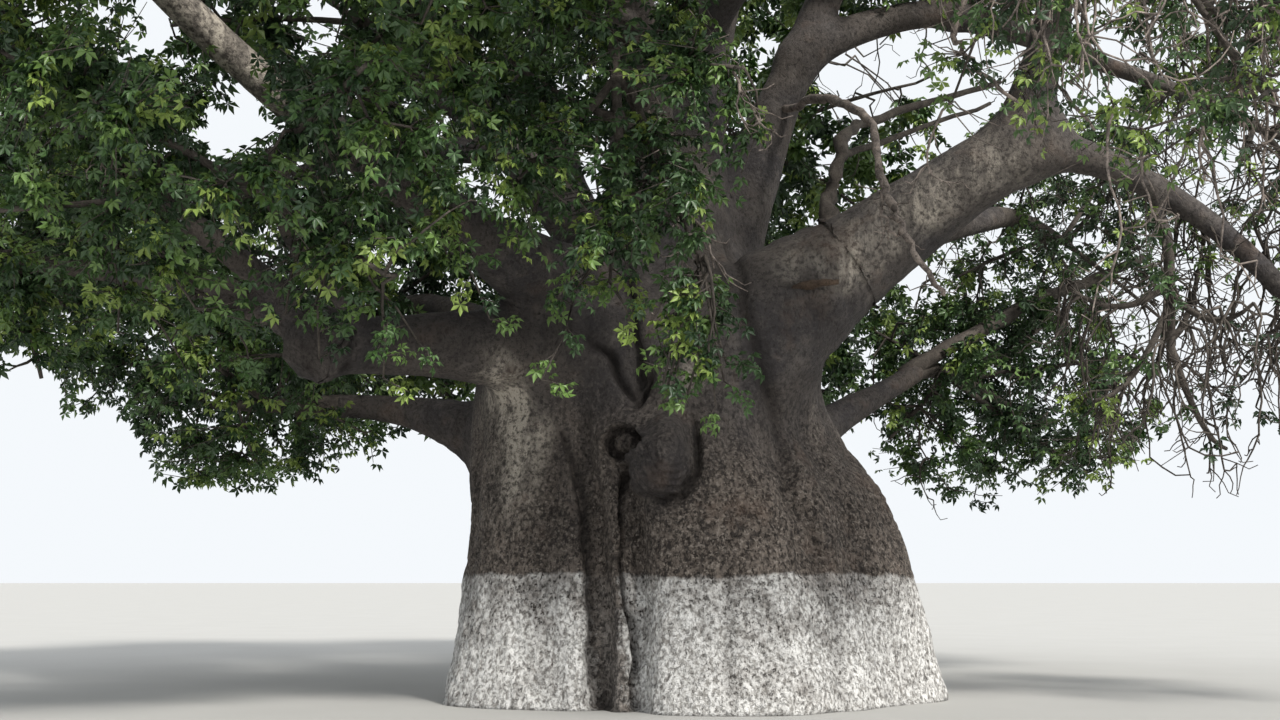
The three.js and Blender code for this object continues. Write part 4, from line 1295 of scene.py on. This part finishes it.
def that_fit(lines):
    """The curves that stay clear of the wood and, but for a little slack, inside the solids' box."""
    low, high = (np.array(corner) for corner in CAD_BOX)
    is_inside = ((lines > low - BOX_SLACK) & (lines < high + BOX_SLACK)).all(axis=(1, 2))
    return lines[clear_of_wood(lines) & is_inside]


def outer_places(lines, first, count):
    """Places spread evenly over curves from this share of their length to their tips, and the unit
    direction of the curve at each."""
    steps = lines.shape[1] - 1
    shares = np.linspace(first, 1.0, count) * steps
    low = np.minimum(shares.astype(int), steps - 1)
    part = (shares - low)[:, None]
    near, far = lines[:, low], lines[:, low + 1]
    return near * (1 - part) + far * part, unit(far - near)


def grow_twigs(mass, targets, carriers, headings, shortest, longest, steps):
    """Curves to the targets from the carriers that suit them, for those of a fitting length."""
    best, gap = nearest_carriers(targets, carriers, mass.stem(1.0), mass.weep)
    keep = (gap > shortest) & (gap < longest)
    roots, ways = carriers[best][keep], headings[best][keep]
    return that_fit(twig_curves(roots, targets[keep], ways, mass.rng, steps, mass.weep))


def wander(roots, headings, lengths, rng, steps, walk):
    """Walks of even steps from roots: each step turns the heading by a seeded kink, down by the sag, and
    in the last steps up by the lift, so that the walk ends in a hook."""
    sag, lift, kink = walk
    heading = unit(headings)
    lines = [roots]
    for step in range(steps):
        part = step / (steps - 1)
        pull = lift * smoothstep(0.6, 1.0, part) - sag * smoothstep(0.9, 0.2, part)
        heading = unit(heading + UP * pull + rng.normal(0, kink, heading.shape))
        lines.append(lines[-1] + heading * (lengths / steps)[:, None])
    return np.stack(lines, axis=1)


def between(rng, limits, count):
    """Seeded numbers between two limits, more of them near the lower one."""
    return limits[0] + (limits[1] - limits[0]) * rng.random(count) ** 1.4


def grow_hangers(mass, carriers, rng):
    """Long bare twigs that hang from the carriers of a mass, and their spurs."""
    if not mass.hangers:
        return np.zeros((0, HANGERS["steps"] + 1, 3)), np.zeros((0, SPURS["steps"] + 1, 3))
    roots = carriers[rng.integers(0, len(carriers), mass.hangers)]
    outward = unit((roots - mass.middle) * (1, 1, 0.3) + rng.normal(0, 0.6, roots.shape))
    lengths = between(rng, HANGERS["length"], len(roots))
    lines = that_fit(wander(roots, outward, lengths, rng, HANGERS["steps"], HANGER_WALK))
    lines = lines[lines[:, :, 2].min(axis=1) > LOWEST_HANGER]
    joints = rng.integers(2, HANGERS["steps"] + 1, (len(lines), HANGER_SPURS))
    roots = lines[np.arange(len(lines))[:, None], joints].reshape(-1, 3)
    along = (lines[:, -1] - lines[:, 0])[:, None].repeat(HANGER_SPURS, axis=1).reshape(-1, 3)
    ways = unit(unit(along) * 0.5 + rng.normal(0, 0.8, roots.shape))
    lengths = between(rng, SPURS["length"], len(roots))
    return lines, that_fit(wander(roots, ways, lengths, rng, SPURS["steps"], HANGER_SPUR_WALK))


def clearing_shares(points):
    """The share of the twigs at each point that stays in the clearings, which are tapering rods of space:
    1 outside them all. Their sides are ragged by noise."""
    stay = np.ones(len(points))
    ragged = CLEARING_RAGGED * lattice_noise(points, *NOISES["clearing sides"])
    for near, far, radii, bare in CLEARINGS:
        gap = limb_gap(points, Limb(near, far, radii, taper=1), 1)[0] + ragged
        stay = np.where(gap < 0, np.minimum(stay, bare), stay)
    return stay


def outside_clearings(lines):
    """True for curves of which twigs stay at every point."""
    return clearing_shares(lines.reshape(-1, 3)).reshape(len(lines), -1).min(axis=1) > LEAST_STAY


def grow_mass(mass):
    """Stem, main twigs, branchlets, fine twigs and long bare twigs of one mass, as curves."""
    stem_line = mass.stem(np.linspace(0, 1, STEM["rings"]))
    twigs = main_twig_lines(mass)
    stays = outside_clearings(np.stack([twig.points([0.8, 1.0]) for twig in twigs]))
    twig_lines = np.stack([twig.points(np.linspace(0, 1, TWIG_LINE["rings"])) for twig in twigs])[stays]
    carriers, headings = carriers_of((stem_line[None], 0.3), (twig_lines, 0.12))
    targets = spread_points(mass, BRANCHLETS["density"])
    spans = (0.25, BRANCHLETS["longest"], BRANCHLETS["steps"])
    branchlets = grow_twigs(mass, targets, carriers, headings, *spans)
    branchlets = branchlets[outside_clearings(branchlets[:, 2:])]
    carriers, headings = carriers_of((twig_lines, 0.3), (branchlets, 0.2))
    targets = spread_points(mass, FINE_TWIGS["density"] * mass.thickness)
    fine = grow_twigs(mass, targets, carriers, headings, 0.1, FINE_TWIGS["longest"], FINE_TWIGS["steps"])
    stay = np.minimum(clearing_shares(fine[:, -1]), clearing_shares(fine[:, FINE_TWIGS["steps"] // 2]))
    kept = mass.rng.random(len(fine)) < stay
    fine, stay = fine[kept], stay[kept]
    is_leafy = (mass.rng.random(len(fine)) < mass.in_leaf) & (stay == 1)
    hangers, spurs = grow_hangers(mass, carriers, mass.rng)
    return {
        "stem": stem_line,
        "stem_radii": np.linspace(mass.limb.girth[1], TWIG["girth"][0], STEM["rings"]),
        "twigs": twig_lines,
        "branchlets": branchlets,
        "leafy": fine[is_leafy],
        "bare": fine[~is_leafy],
        "hangers": hangers,
        "spurs": spurs,
        "carriers": carriers,
    }


def branch_line(places):
    """A smooth curve through places, as cubics. Beyond each end it is taken to stand still."""
    knots = np.array([places[0], *places, places[-1]], float)
    t = np.linspace(0, 1, BRANCH_STEPS, endpoint=False)[:, None]
    neighbours = (knots[step : len(knots) - 3 + step, None] for step in range(4))
    return np.concatenate([smooth_cubic(*neighbours, t).reshape(-1, 3), knots[-1:]])


def make_branch(places, girth, rng, kink=0.02):
    """A knobbly rod along a branch's places, and short spurs on its outer part."""
    line = branch_line(places)
    line[1:-1] += rng.normal(0, kink, (len(line) - 2, 3))
    radii = np.linspace(*girth, len(line)) * (1 + 0.1 * rng.normal(0, 1, len(line)))
    joints = rng.integers(len(line) // 3, len(line), BRANCH_SPURS)
    lengths = between(rng, SPURS["length"], BRANCH_SPURS)
    ways = rng.normal(0, 1, (BRANCH_SPURS, 3))
    spurs = wander(line[joints], ways, lengths, rng, SPURS["steps"], BRANCH_SPUR_WALK)
    return rods(line[None], radii[None], BRANCH_SIDES), tapering(spurs, SPURS)


def grow_hanging_sprays(carriers):
    """Leafy sprays that reach down before the trunk: a branchlet to each tip from the carrier above that
    suits it, and fine twigs round its lower part."""
    rng = np.random.default_rng(SEEDS["sprays"])
    tips = np.array(HANGING_SPRAYS)
    gap = np.linalg.norm(tips[:, None] - carriers[None], axis=2)
    too_low = np.clip(tips[:, 2][:, None] + SPRAY_RISE - carriers[:, 2][None], 0, None)
    roots = carriers[(gap + 4 * too_low).argmin(axis=1)]
    down = np.tile(SPRAY_WAY, (len(tips), 1))
    lines = twig_curves(roots, tips, down, rng, BRANCHLETS["steps"], 0.3, wander=0.04)
    starts = outer_places(lines, SPRAY_TWIGS["from"], SPRAY_TWIGS["count"])[0].reshape(-1, 3)
    ways = rng.normal(0, 1, starts.shape) * (1, 0.6, 0.6)
    lengths = between(rng, SPRAY_TWIGS["length"], len(starts))
    fine = wander(starts, ways, lengths, rng, FINE_TWIGS["steps"], SPRAY_WALK)
    return lines, fine[clear_of_wood(fine)]


def leaf_places(lines, rng):
    """Places of the leaves on fine twigs: evenly over the outer part of each curve and turned by the golden
    angle from leaf to leaf. Gives leaf centres, outward directions and normals, each (twigs, leaves, 3)."""
    points, onward = outer_places(lines, LEAVES_FROM, LEAVES_PER_TWIG)
    across, over = framed(onward)
    first = rng.random((len(lines), 1)) * 2 * math.pi
    turn = (first + GOLDEN_ANGLE * np.arange(LEAVES_PER_TWIG))[..., None]
    sideways = np.cos(turn) * across + np.sin(turn) * over
    outward = unit(sideways + 0.5 * onward - 0.45 * UP)
    normals = UP + rng.normal(0, 0.45, outward.shape) + 0.45 * sideways
    normals = unit(normals - (normals * outward).sum(-1, keepdims=True) * outward)
    return points + outward * PETIOLE, outward, normals


def leaves_mesh(centres, outward, normals, lengths, rng):
    """Palmate leaves. Each leaflet is a kite of two triangles folded along its middle: from the leaf's
    centre it points out in the leaf's plane at its own turn, is widest past its middle and droops at its
    tip."""
    side = np.cross(normals, outward)
    turns = LEAFLET_TURNS + rng.normal(0, 0.09, (len(centres), len(LEAFLET_TURNS)))
    along = np.cos(turns)[..., None] * outward[:, None] + np.sin(turns)[..., None] * side[:, None]
    across = np.cross(normals[:, None], along)
    size = lengths[:, None, None] * (0.78 + 0.44 * rng.random((len(centres), 1, 1)))
    length = size * LEAFLET_LENGTHS[:, None]
    base = np.broadcast_to(centres[:, None], along.shape)
    raised = normals[:, None] * length
    wide = base + along * length * LEAFLET["widest"] + raised * LEAFLET["fold"]
    half = across * length * LEAFLET["half_width"]
    tip = base + along * length - raised * LEAFLET["droop"]
    points = np.stack([base, wide + half, tip, wide - half], axis=2).reshape(-1, 3)
    corners = np.arange(len(points)).reshape(-1, 4)
    return points, np.concatenate([corners[:, [0, 2, 1]], corners[:, [0, 3, 2]]])


def shader_group(name, inputs, outputs):
    """An empty shader node group with named inputs, each with its first value, and named outputs."""
    group = bpy.data.node_groups.new(name, "ShaderNodeTree")
    for label, kind, value in inputs:
        socket = group.interface.new_socket(name=label, in_out="INPUT", socket_type=kind)
        if value is not None:
            socket.default_value = value
    for label, kind in outputs:
        group.interface.new_socket(name=label, in_out="OUTPUT", socket_type=kind)
    entry = group.nodes.new("NodeGroupInput")
    leave = group.nodes.new("NodeGroupOutput")
    return group, entry, leave


def add_node(tree, kind, links=None, **settings):
    """A node with these settings. Each link is an input name or number, and the socket or value for it."""
    node = tree.nodes.new(kind)
    for key, value in settings.items():
        setattr(node, key, value)
    for key, value in (links or {}).items():
        if isinstance(value, bpy.types.NodeSocket):
            tree.links.new(value, node.inputs[key])
        else:
            node.inputs[key].default_value = value
    return node


def ramp(tree, value, low, high, low_out=0.0, high_out=1.0):
    """A straight ramp of a value, held at both ends."""
    links = {"Value": value, "From Min": low, "From Max": high, "To Min": low_out, "To Max": high_out}
    return add_node(tree, "ShaderNodeMapRange", links).outputs["Result"]


def blend(tree, share, first, second):
    """The first colour where the share is 0, and the second where it is 1."""
    node = add_node(tree, "ShaderNodeMix", data_type="RGBA")
    for index, value in ((0, share), (6, first), (7, second)):
        if isinstance(value, bpy.types.NodeSocket):
            tree.links.new(value, node.inputs[index])
        elif index:
            node.inputs[index].default_value = (*value, 1)
        else:
            node.inputs[index].default_value = value
    return node.outputs[2]


def calculate(tree, operation, *values):
    """One sum of numbers or sockets."""
    return add_node(tree, "ShaderNodeMath", dict(enumerate(values)), operation=operation).outputs[0]


def product(tree, *values):
    """Two numbers or sockets multiplied."""
    return calculate(tree, "MULTIPLY", *values)


def total(tree, *values):
    """Two numbers or sockets added."""
    return calculate(tree, "ADD", *values)


def greatest(tree, *values):
    """The greater of two numbers or sockets."""
    return calculate(tree, "MAXIMUM", *values)


def coated(tree, colour, *coats):
    """A colour under coats, each a share and a tint."""
    for share, tint in coats:
        colour = blend(tree, share, colour, tint)
    return colour


def noise(tree, where, scale, detail=3.0, roughness=0.55, distortion=0.0):
    """Noise from 0 to 1 over a position in metres. The scale counts its waves in a metre."""
    links = {"Vector": where, "Scale": scale, "Detail": detail}
    links |= {"Roughness": roughness, "Distortion": distortion}
    return add_node(tree, "ShaderNodeTexNoise", links).outputs["Fac"]


def stretched(tree, where, scale):
    """A position scaled along each axis, to draw a pattern out."""
    return add_node(tree, "ShaderNodeMapping", {"Vector": where, "Scale": scale}).outputs["Vector"]


def bark_group():
    """Grain of baobab bark: broad mottling, fine grain, dark pits and pale flecks a few centimetres across,
    long upright streaks, and the height of them all."""
    group, entry, leave = shader_group(
        "bark_grain",
        [("Position", "NodeSocketVector", None), ("Size", "NodeSocketFloat", 1.0)],
        [(name, "NodeSocketFloat") for name in ("Mottle", "Fine", "Pits", "Flecks", "Streaks", "Height")],
    )
    links = {0: entry.outputs["Position"], "Scale": entry.outputs["Size"]}
    where = add_node(group, "ShaderNodeVectorMath", links, operation="SCALE").outputs["Vector"]
    mottle = noise(group, where, 2.6, 8.0, 0.7, 0.3)
    fine = noise(group, stretched(group, where, (1.0, 1.0, 0.8)), 17.0, 5.0, 0.66)
    upright = stretched(group, where, (1.0, 1.0, 0.75))
    pits = ramp(group, noise(group, upright, 24.0, 3.0, 0.65, 0.3), 0.54, 0.63)
    flecks = ramp(group, noise(group, where, 21.0, 4.0, 0.7), 0.52, 0.64)
    streaks = noise(group, stretched(group, where, (1.0, 1.0, 0.1)), 5.5, 5.0, 0.65)
    raised = total(group, product(group, fine, 0.6), product(group, mottle, 1.3))
    height = calculate(group, "SUBTRACT", raised, product(group, pits, 0.3))
    for number, value in enumerate((mottle, fine, pits, flecks, streaks, height)):
        group.links.new(value, leave.inputs[number])
    return group


def new_material(name, roughness=0.85, specular=0.3):
    """A material with its shader, and the position on the piece in metres."""
    material = bpy.data.materials.new(name)
    material.use_nodes = True
    tree = material.node_tree
    shader = tree.nodes["Principled BSDF"]
    shader.inputs["Roughness"].default_value = roughness
    shader.inputs["Specular IOR Level"].default_value = specular
    where = tree.nodes.new("ShaderNodeTexCoord").outputs["Object"]
    return material, tree, shader, where


def grain_of(tree, where, group, size=1.0):
    """The bark's grain at a position, finer by its size, as sockets by name."""
    return add_node(tree, "ShaderNodeGroup", {"Position": where, "Size": size}, node_tree=group).outputs


def mask_value(tree, name):
    """A share kept on the mesh, point by point."""
    return add_node(tree, "ShaderNodeAttribute", attribute_name=name).outputs["Fac"]


def link_bump(tree, shader, height, distance, strength):
    """Lifts the shader's surface by a height, up to this distance."""
    links = {"Height": height, "Distance": distance, "Strength": strength}
    bump = add_node(tree, "ShaderNodeBump", links)
    tree.links.new(bump.outputs["Normal"], shader.inputs["Normal"])


def wash_cover(tree, where, grain, creased):
    """Where the limewash sticks: up to a wavy level line, not on the strip between the two folds, thinly in
    creases and on worn patches, and not in the pits of the bark, of which more show near its upper edge."""
    x, y, z = add_node(tree, "ShaderNodeSeparateXYZ", {0: where}).outputs
    wave = ramp(tree, noise(tree, where, 1.1, 5.0, 0.7), 0.3, 0.7, -0.07, 0.07)
    under = ramp(tree, total(tree, z, wave), WASH_TOP - 0.025, WASH_TOP + 0.025, 1.0, 0.0)
    lean = total(tree, x, product(tree, z, STRIP_LEAN))
    ragged = total(tree, lean, ramp(tree, noise(tree, where, 6.0, 4.0, 0.7), 0.3, 0.7, -0.12, 0.12))
    left, right = UNPAINTED
    after_left = ramp(tree, ragged, left - 0.06, left + 0.06)
    before_right = ramp(tree, ragged, right - 0.06, right + 0.06, 1.0, 0.0)
    strip = product(tree, after_left, before_right)
    strip = product(tree, strip, ramp(tree, y, *STRIP_FADE, 0.88, 0.0))
    high = ramp(tree, z, 0.7, WASH_TOP, 0.0, 0.16)
    worn = ramp(tree, total(tree, noise(tree, where, 1.7, 7.0, 0.78), high), 0.52, 0.70)
    worn = greatest(tree, worn, ramp(tree, grain["Streaks"], 0.56, 0.68, 0.0, 0.7))
    worn = greatest(tree, worn, product(tree, creased, 0.8))
    pitted = product(tree, grain["Pits"], ramp(tree, worn, 0.0, 0.6, 0.35, 1.0))
    bare = greatest(tree, pitted, product(tree, worn, 0.7))
    cover = product(tree, under, calculate(tree, "SUBTRACT", 1.0, strip))
    return product(tree, cover, calculate(tree, "SUBTRACT", 1.0, bare))


def bark_material(name, grain_group, limewashed):
    """Baobab bark: brown, cracked and speckled where it is rough, grey and smoother above, with painted
    shade in creases and hollows and along the shade patches, pale where pale bark and painted sunlight lie,
    with limewash at the foot."""
    material, tree, shader, where = new_material(name)
    grain = grain_of(tree, where, grain_group)
    masks = ("rough", "crease", "hollow", "pale")
    rough, creased, hollow, pale = (mask_value(tree, mask) for mask in masks)
    mottle, fine, pits, flecks, streaks, height = grain

    broad = ramp(tree, noise(tree, where, 0.8, 3.0, 0.6), 0.38, 0.62)
    smooth_bark = coated(
        tree,
        SMOOTH_BARK["dark"],
        (broad, SMOOTH_BARK["light"]),
        (ramp(tree, mottle, 0.5, 0.68, 0.0, 0.6), SMOOTH_BARK["mottled"]),
        (product(tree, flecks, 0.22), SMOOTH_BARK["flecks"]),
        (product(tree, pits, 0.5), SMOOTH_BARK["pits"]),
    )
    uneven = total(tree, ramp(tree, mottle, 0.4, 0.6, 0.0, 0.45), ramp(tree, fine, 0.42, 0.58, 0.0, 0.55))
    rough_bark = coated(
        tree,
        ROUGH_BARK_TINTS["dark"],
        (uneven, ROUGH_BARK_TINTS["light"]),
        (product(tree, flecks, 0.75), ROUGH_BARK_TINTS["flecks"]),
        (product(tree, pits, 0.85), ROUGH_BARK_TINTS["pits"]),
    )
    rusty = ramp(tree, noise(tree, where, 1.3, 4.0, 0.65), 0.56, 0.72, 0.0, 0.4)
    # Pale bark with painted sunlight along the pale patches.
    bleached = product(tree, pale, ramp(tree, fine, 0.4, 0.56, 0.15, 1.0))
    bleached = product(tree, bleached, ramp(tree, streaks, 0.56, 0.44, 0.5, 1.35))
    colour = coated(
        tree,
        blend(tree, rough, smooth_bark, rough_bark),
        (ramp(tree, fine, 0.48, 0.38, 0.0, 0.6), BARK_COATS["fine"]),
        (ramp(tree, streaks, 0.52, 0.72, 0.0, 0.5), BARK_COATS["streaked"]),
        (rusty, BARK_COATS["rusty"]),
        (bleached, BARK_COATS["bleached"]),
        # Painted shade where the pale share falls below nothing.
        (product(tree, pale, -0.8), BARK_COATS["stained"]),
    )
    if limewashed:
        wash = blend(tree, ramp(tree, mottle, 0.35, 0.65), LIMEWASH["grey"], LIMEWASH["white"])
        wash = blend(tree, ramp(tree, fine, 0.55, 0.4, 0.0, 0.8), wash, LIMEWASH["worn"])
        colour = blend(tree, wash_cover(tree, where, grain, creased), colour, wash)
    # Painted shade in creases, in hollows and in the knot's gap.
    colour = coated(
        tree,
        colour,
        (product(tree, creased, 0.8), BARK_COATS["creased"]),
        (product(tree, hollow, ramp(tree, fine, 0.4, 0.6, 0.95, 0.6)), BARK_COATS["hollow"]),
    )
    tree.links.new(colour, shader.inputs["Base Color"])
    tree.links.new(ramp(tree, mottle, 0.3, 0.7, 0.95, 0.75), shader.inputs["Roughness"])
    link_bump(tree, shader, height, 0.06, ramp(tree, rough, 0.0, 1.0, 0.55, 1.0))
    return material


def twig_material(name, grain_group):
    """Young bark: a dark colour, a light one in patches, and darker pits, with fine relief."""
    material, tree, shader, where = new_material(name)
    grain = grain_of(tree, where, grain_group, 2.5)
    dark, light = TWIG_TINTS[name]
    colour = blend(tree, ramp(tree, grain["Mottle"], 0.38, 0.62), dark, light)
    colour = blend(tree, product(tree, grain["Pits"], 0.6), colour, tuple(0.4 * part for part in dark))
    tree.links.new(colour, shader.inputs["Base Color"])
    link_bump(tree, shader, grain["Height"], 0.01, 0.8)
    return material


def leaf_material(name, colour):
    """A leaf's waxy skin: one plain colour, with gloss and a faint swell between the veins that vary."""
    material, tree, shader, where = new_material(name, 0.42, 0.5)
    shader.inputs["Base Color"].default_value = (*colour, 1)
    wax = noise(tree, where, 18.0, 2.0)
    tree.links.new(ramp(tree, wax, 0.3, 0.7, 0.32, 0.54), shader.inputs["Roughness"])
    link_bump(tree, shader, wax, 0.006, 0.5)
    return material


def finish_piece(piece, material, nodes):
    """The piece takes its material, moves with the tree and stands for these solids."""
    piece.data.materials.append(material)
    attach(piece, "root")
    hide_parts(*nodes)


def make_camera():
    """The camera at the eye of the view."""
    camera = new_object("camera", bpy.data.cameras.new("camera"))
    camera.location = EYE
    camera.rotation_euler = (math.pi / 2 + LOOK_UP, 0, 0)
    camera.data.lens = LENS
    camera.data.sensor_width = SENSOR_WIDTH
    camera.data.sensor_fit = "HORIZONTAL"
    camera.data.clip_end = 1000
    bpy.context.scene.camera = camera


def make_light():
    """A pale overcast sky, and a broad soft sun high to the front."""
    world = bpy.data.worlds.new("sky")
    world.use_nodes = True
    sky = world.node_tree.nodes["Background"]
    sky.inputs["Color"].default_value = SKY["colour"]
    sky.inputs["Strength"].default_value = SKY["strength"]
    bpy.context.scene.world = world
    sun = new_object("sun", bpy.data.lights.new("sun", "SUN"))
    sun.data.energy = SUN["strength"]
    sun.data.angle = math.radians(SUN["spread"])
    sun.data.color = SUN["colour"]
    sun.rotation_euler = (math.radians(SUN["tilt"]), 0, math.radians(SUN["turn"]))
    bpy.context.scene.view_settings.view_transform = "Standard"


def make_floor():
    """A plain pale floor that reaches the horizon."""
    half = FLOOR["half"]
    corners = np.array([(-half, -half, 0), (half, -half, 0), (half, half, 0), (-half, half, 0)])
    floor = mesh_piece("floor", corners, [np.array([[0, 1, 2, 3]])], smooth=False)
    material, tree, shader, where = new_material("pale_floor", 0.9)
    shade = blend(tree, noise(tree, where, 0.6, 4.0), FLOOR["dark"], FLOOR["light"])
    tree.links.new(shade, shader.inputs["Base Color"])
    floor.data.materials.append(material)


def make_foliage(grain_group):
    """Every mass's twigs and leaves, joined each kind apart."""
    nodes = ["foliage_of_" + mass.bough for mass in CROWN]
    grown = [grow_mass(mass) for mass in CROWN]
    spray_lines, spray_twigs = grow_hanging_sprays(np.concatenate([parts["carriers"] for parts in grown]))
    leafy = np.concatenate([parts["leafy"] for parts in grown] + [spray_twigs])
    make_twigs(grown, spray_lines, leafy, grain_group, nodes)
    make_leaves(grown, spray_twigs, leafy, nodes)


def make_twigs(grown, spray_lines, leafy, grain_group, nodes):
    """Stems and branchlets, the fine twigs that carry leaves, and the bare ones, painted pale as sunlit in
    front and darker as shaded behind.
    """
    rng = np.random.default_rng(SEEDS["branches"])
    stout, bare, shaded = [tapering(spray_lines, BRANCHLETS)], [], []
    for mass, parts in zip(CROWN, grown):
        line = np.concatenate([mass.limb.points([STEM["overlap"]]), parts["stem"]])
        radii = np.concatenate([STEM["overlap"] * parts["stem_radii"][:1], parts["stem_radii"]])
        stout.append(rods(line[None], radii[None], STEM["sides"]))
        stout.append(tapering(parts["twigs"], TWIG | TWIG_LINE))
        stout.append(tapering(parts["branchlets"], BRANCHLETS))
        # Bare twigs in front take the pale bark painted as sunlit, those behind the darker bark painted as
        # shaded.
        side = bare if mass.middle[1] < SUNLIT_FRONT else shaded
        for kind, form in (("bare", BARE_TWIGS), ("hangers", HANGERS), ("spurs", SPURS)):
            side.append(tapering(parts[kind], form))
    for branches, side in ((INNER_BRANCHES, stout), (DEAD_BRANCHES, bare)):
        for places, girth in branches:
            side += make_branch(places, girth, rng)
    grey = twig_material("twig_bark", grain_group)
    pale = twig_material("bare_twig_bark", grain_group)
    for name, parts, material in (
        ("branchlets", stout, grey),
        ("fine_twigs", [tapering(leafy[:, ::2], FINE_TWIGS)], grey),
        ("bare_twigs", bare, pale),
        ("shaded_bare_twigs", shaded, grey),
    ):
        piece = mesh_piece(name, *join_parts([part for part in parts if len(part[0])]))
        finish_piece(piece, material, nodes)


def make_leaves(grown, spray_twigs, leafy, nodes):
    """The leaves of all fine twigs, dealt to the colours by how far out and how high each twig's tip is,
    which noise unsettles, so that the colours paint shade inside the crown and sunlight outside and on top."""
    rng = np.random.default_rng(SEEDS["leaves"])
    places = leaf_places(leafy, rng)
    lengths = [np.full(len(parts["leafy"]), mass.leaflet) for mass, parts in zip(CROWN, grown)]
    lengths = np.concatenate(lengths + [np.full(len(spray_twigs), SPRAY_LEAFLET)])
    lengths = np.repeat(lengths[:, None], LEAVES_PER_TWIG, axis=1)
    # Tips further out and higher count as more lit, for painted sunlight.
    lit = reach_shares(leafy[:, -1]).min(axis=1) + 0.03 * leafy[:, -1, 2] + rng.normal(0, 0.4, len(leafy))
    lit[-len(spray_twigs) :] = lit.mean() + rng.normal(0, lit.std(), len(spray_twigs))
    rank = lit.argsort().argsort() / len(leafy)
    edges = np.concatenate([[0], np.cumsum([share for _, _, share in LEAF_COLOURS])])
    for (name, colour, _), low, high in zip(LEAF_COLOURS, edges[:-1], edges[1:]):
        dealt = (rank >= low) & (rank < high)
        ways = [part[dealt].reshape(-1, 3) for part in places]
        piece = mesh_piece(name, *join_parts([leaves_mesh(*ways, lengths[dealt].ravel(), rng)]))
        finish_piece(piece, leaf_material(name, colour), nodes)


def make_stub():
    """The broken stub of a small bough."""
    stub = Limb(STUB["root"], STUB["tip"], STUB["girth"], STUB["bend"], STUB["bend"], STUB["taper"])
    points, walls, ends = limb_rod(stub, 0, 1, 14, 18)
    points = points + 0.025 * lattice_noise(points, *NOISES["stub"])[:, None]
    return mesh_piece("broken_stub", *join_parts([(points, walls, ends)]))


CROWN = [Mass(index, *row) for index, row in enumerate(MASSES)]

make_camera()
make_light()
make_floor()
grain = bark_group()
trunk_bark = bark_material("trunk_bark", grain, True)
bough_bark = bark_material("bough_bark", grain, False)
finish_piece(make_trunk(), trunk_bark, ["trunk"])
finish_piece(make_scar_patch(), trunk_bark, ["trunk"])
for row in TRUNK_BOUGHS:
    family_piece, family = make_bough_family(row[0])
    finish_piece(family_piece, bough_bark, family)
finish_piece(make_stub(), twig_material("stub_bark", grain), ["right_bough"])
make_foliage(grain)
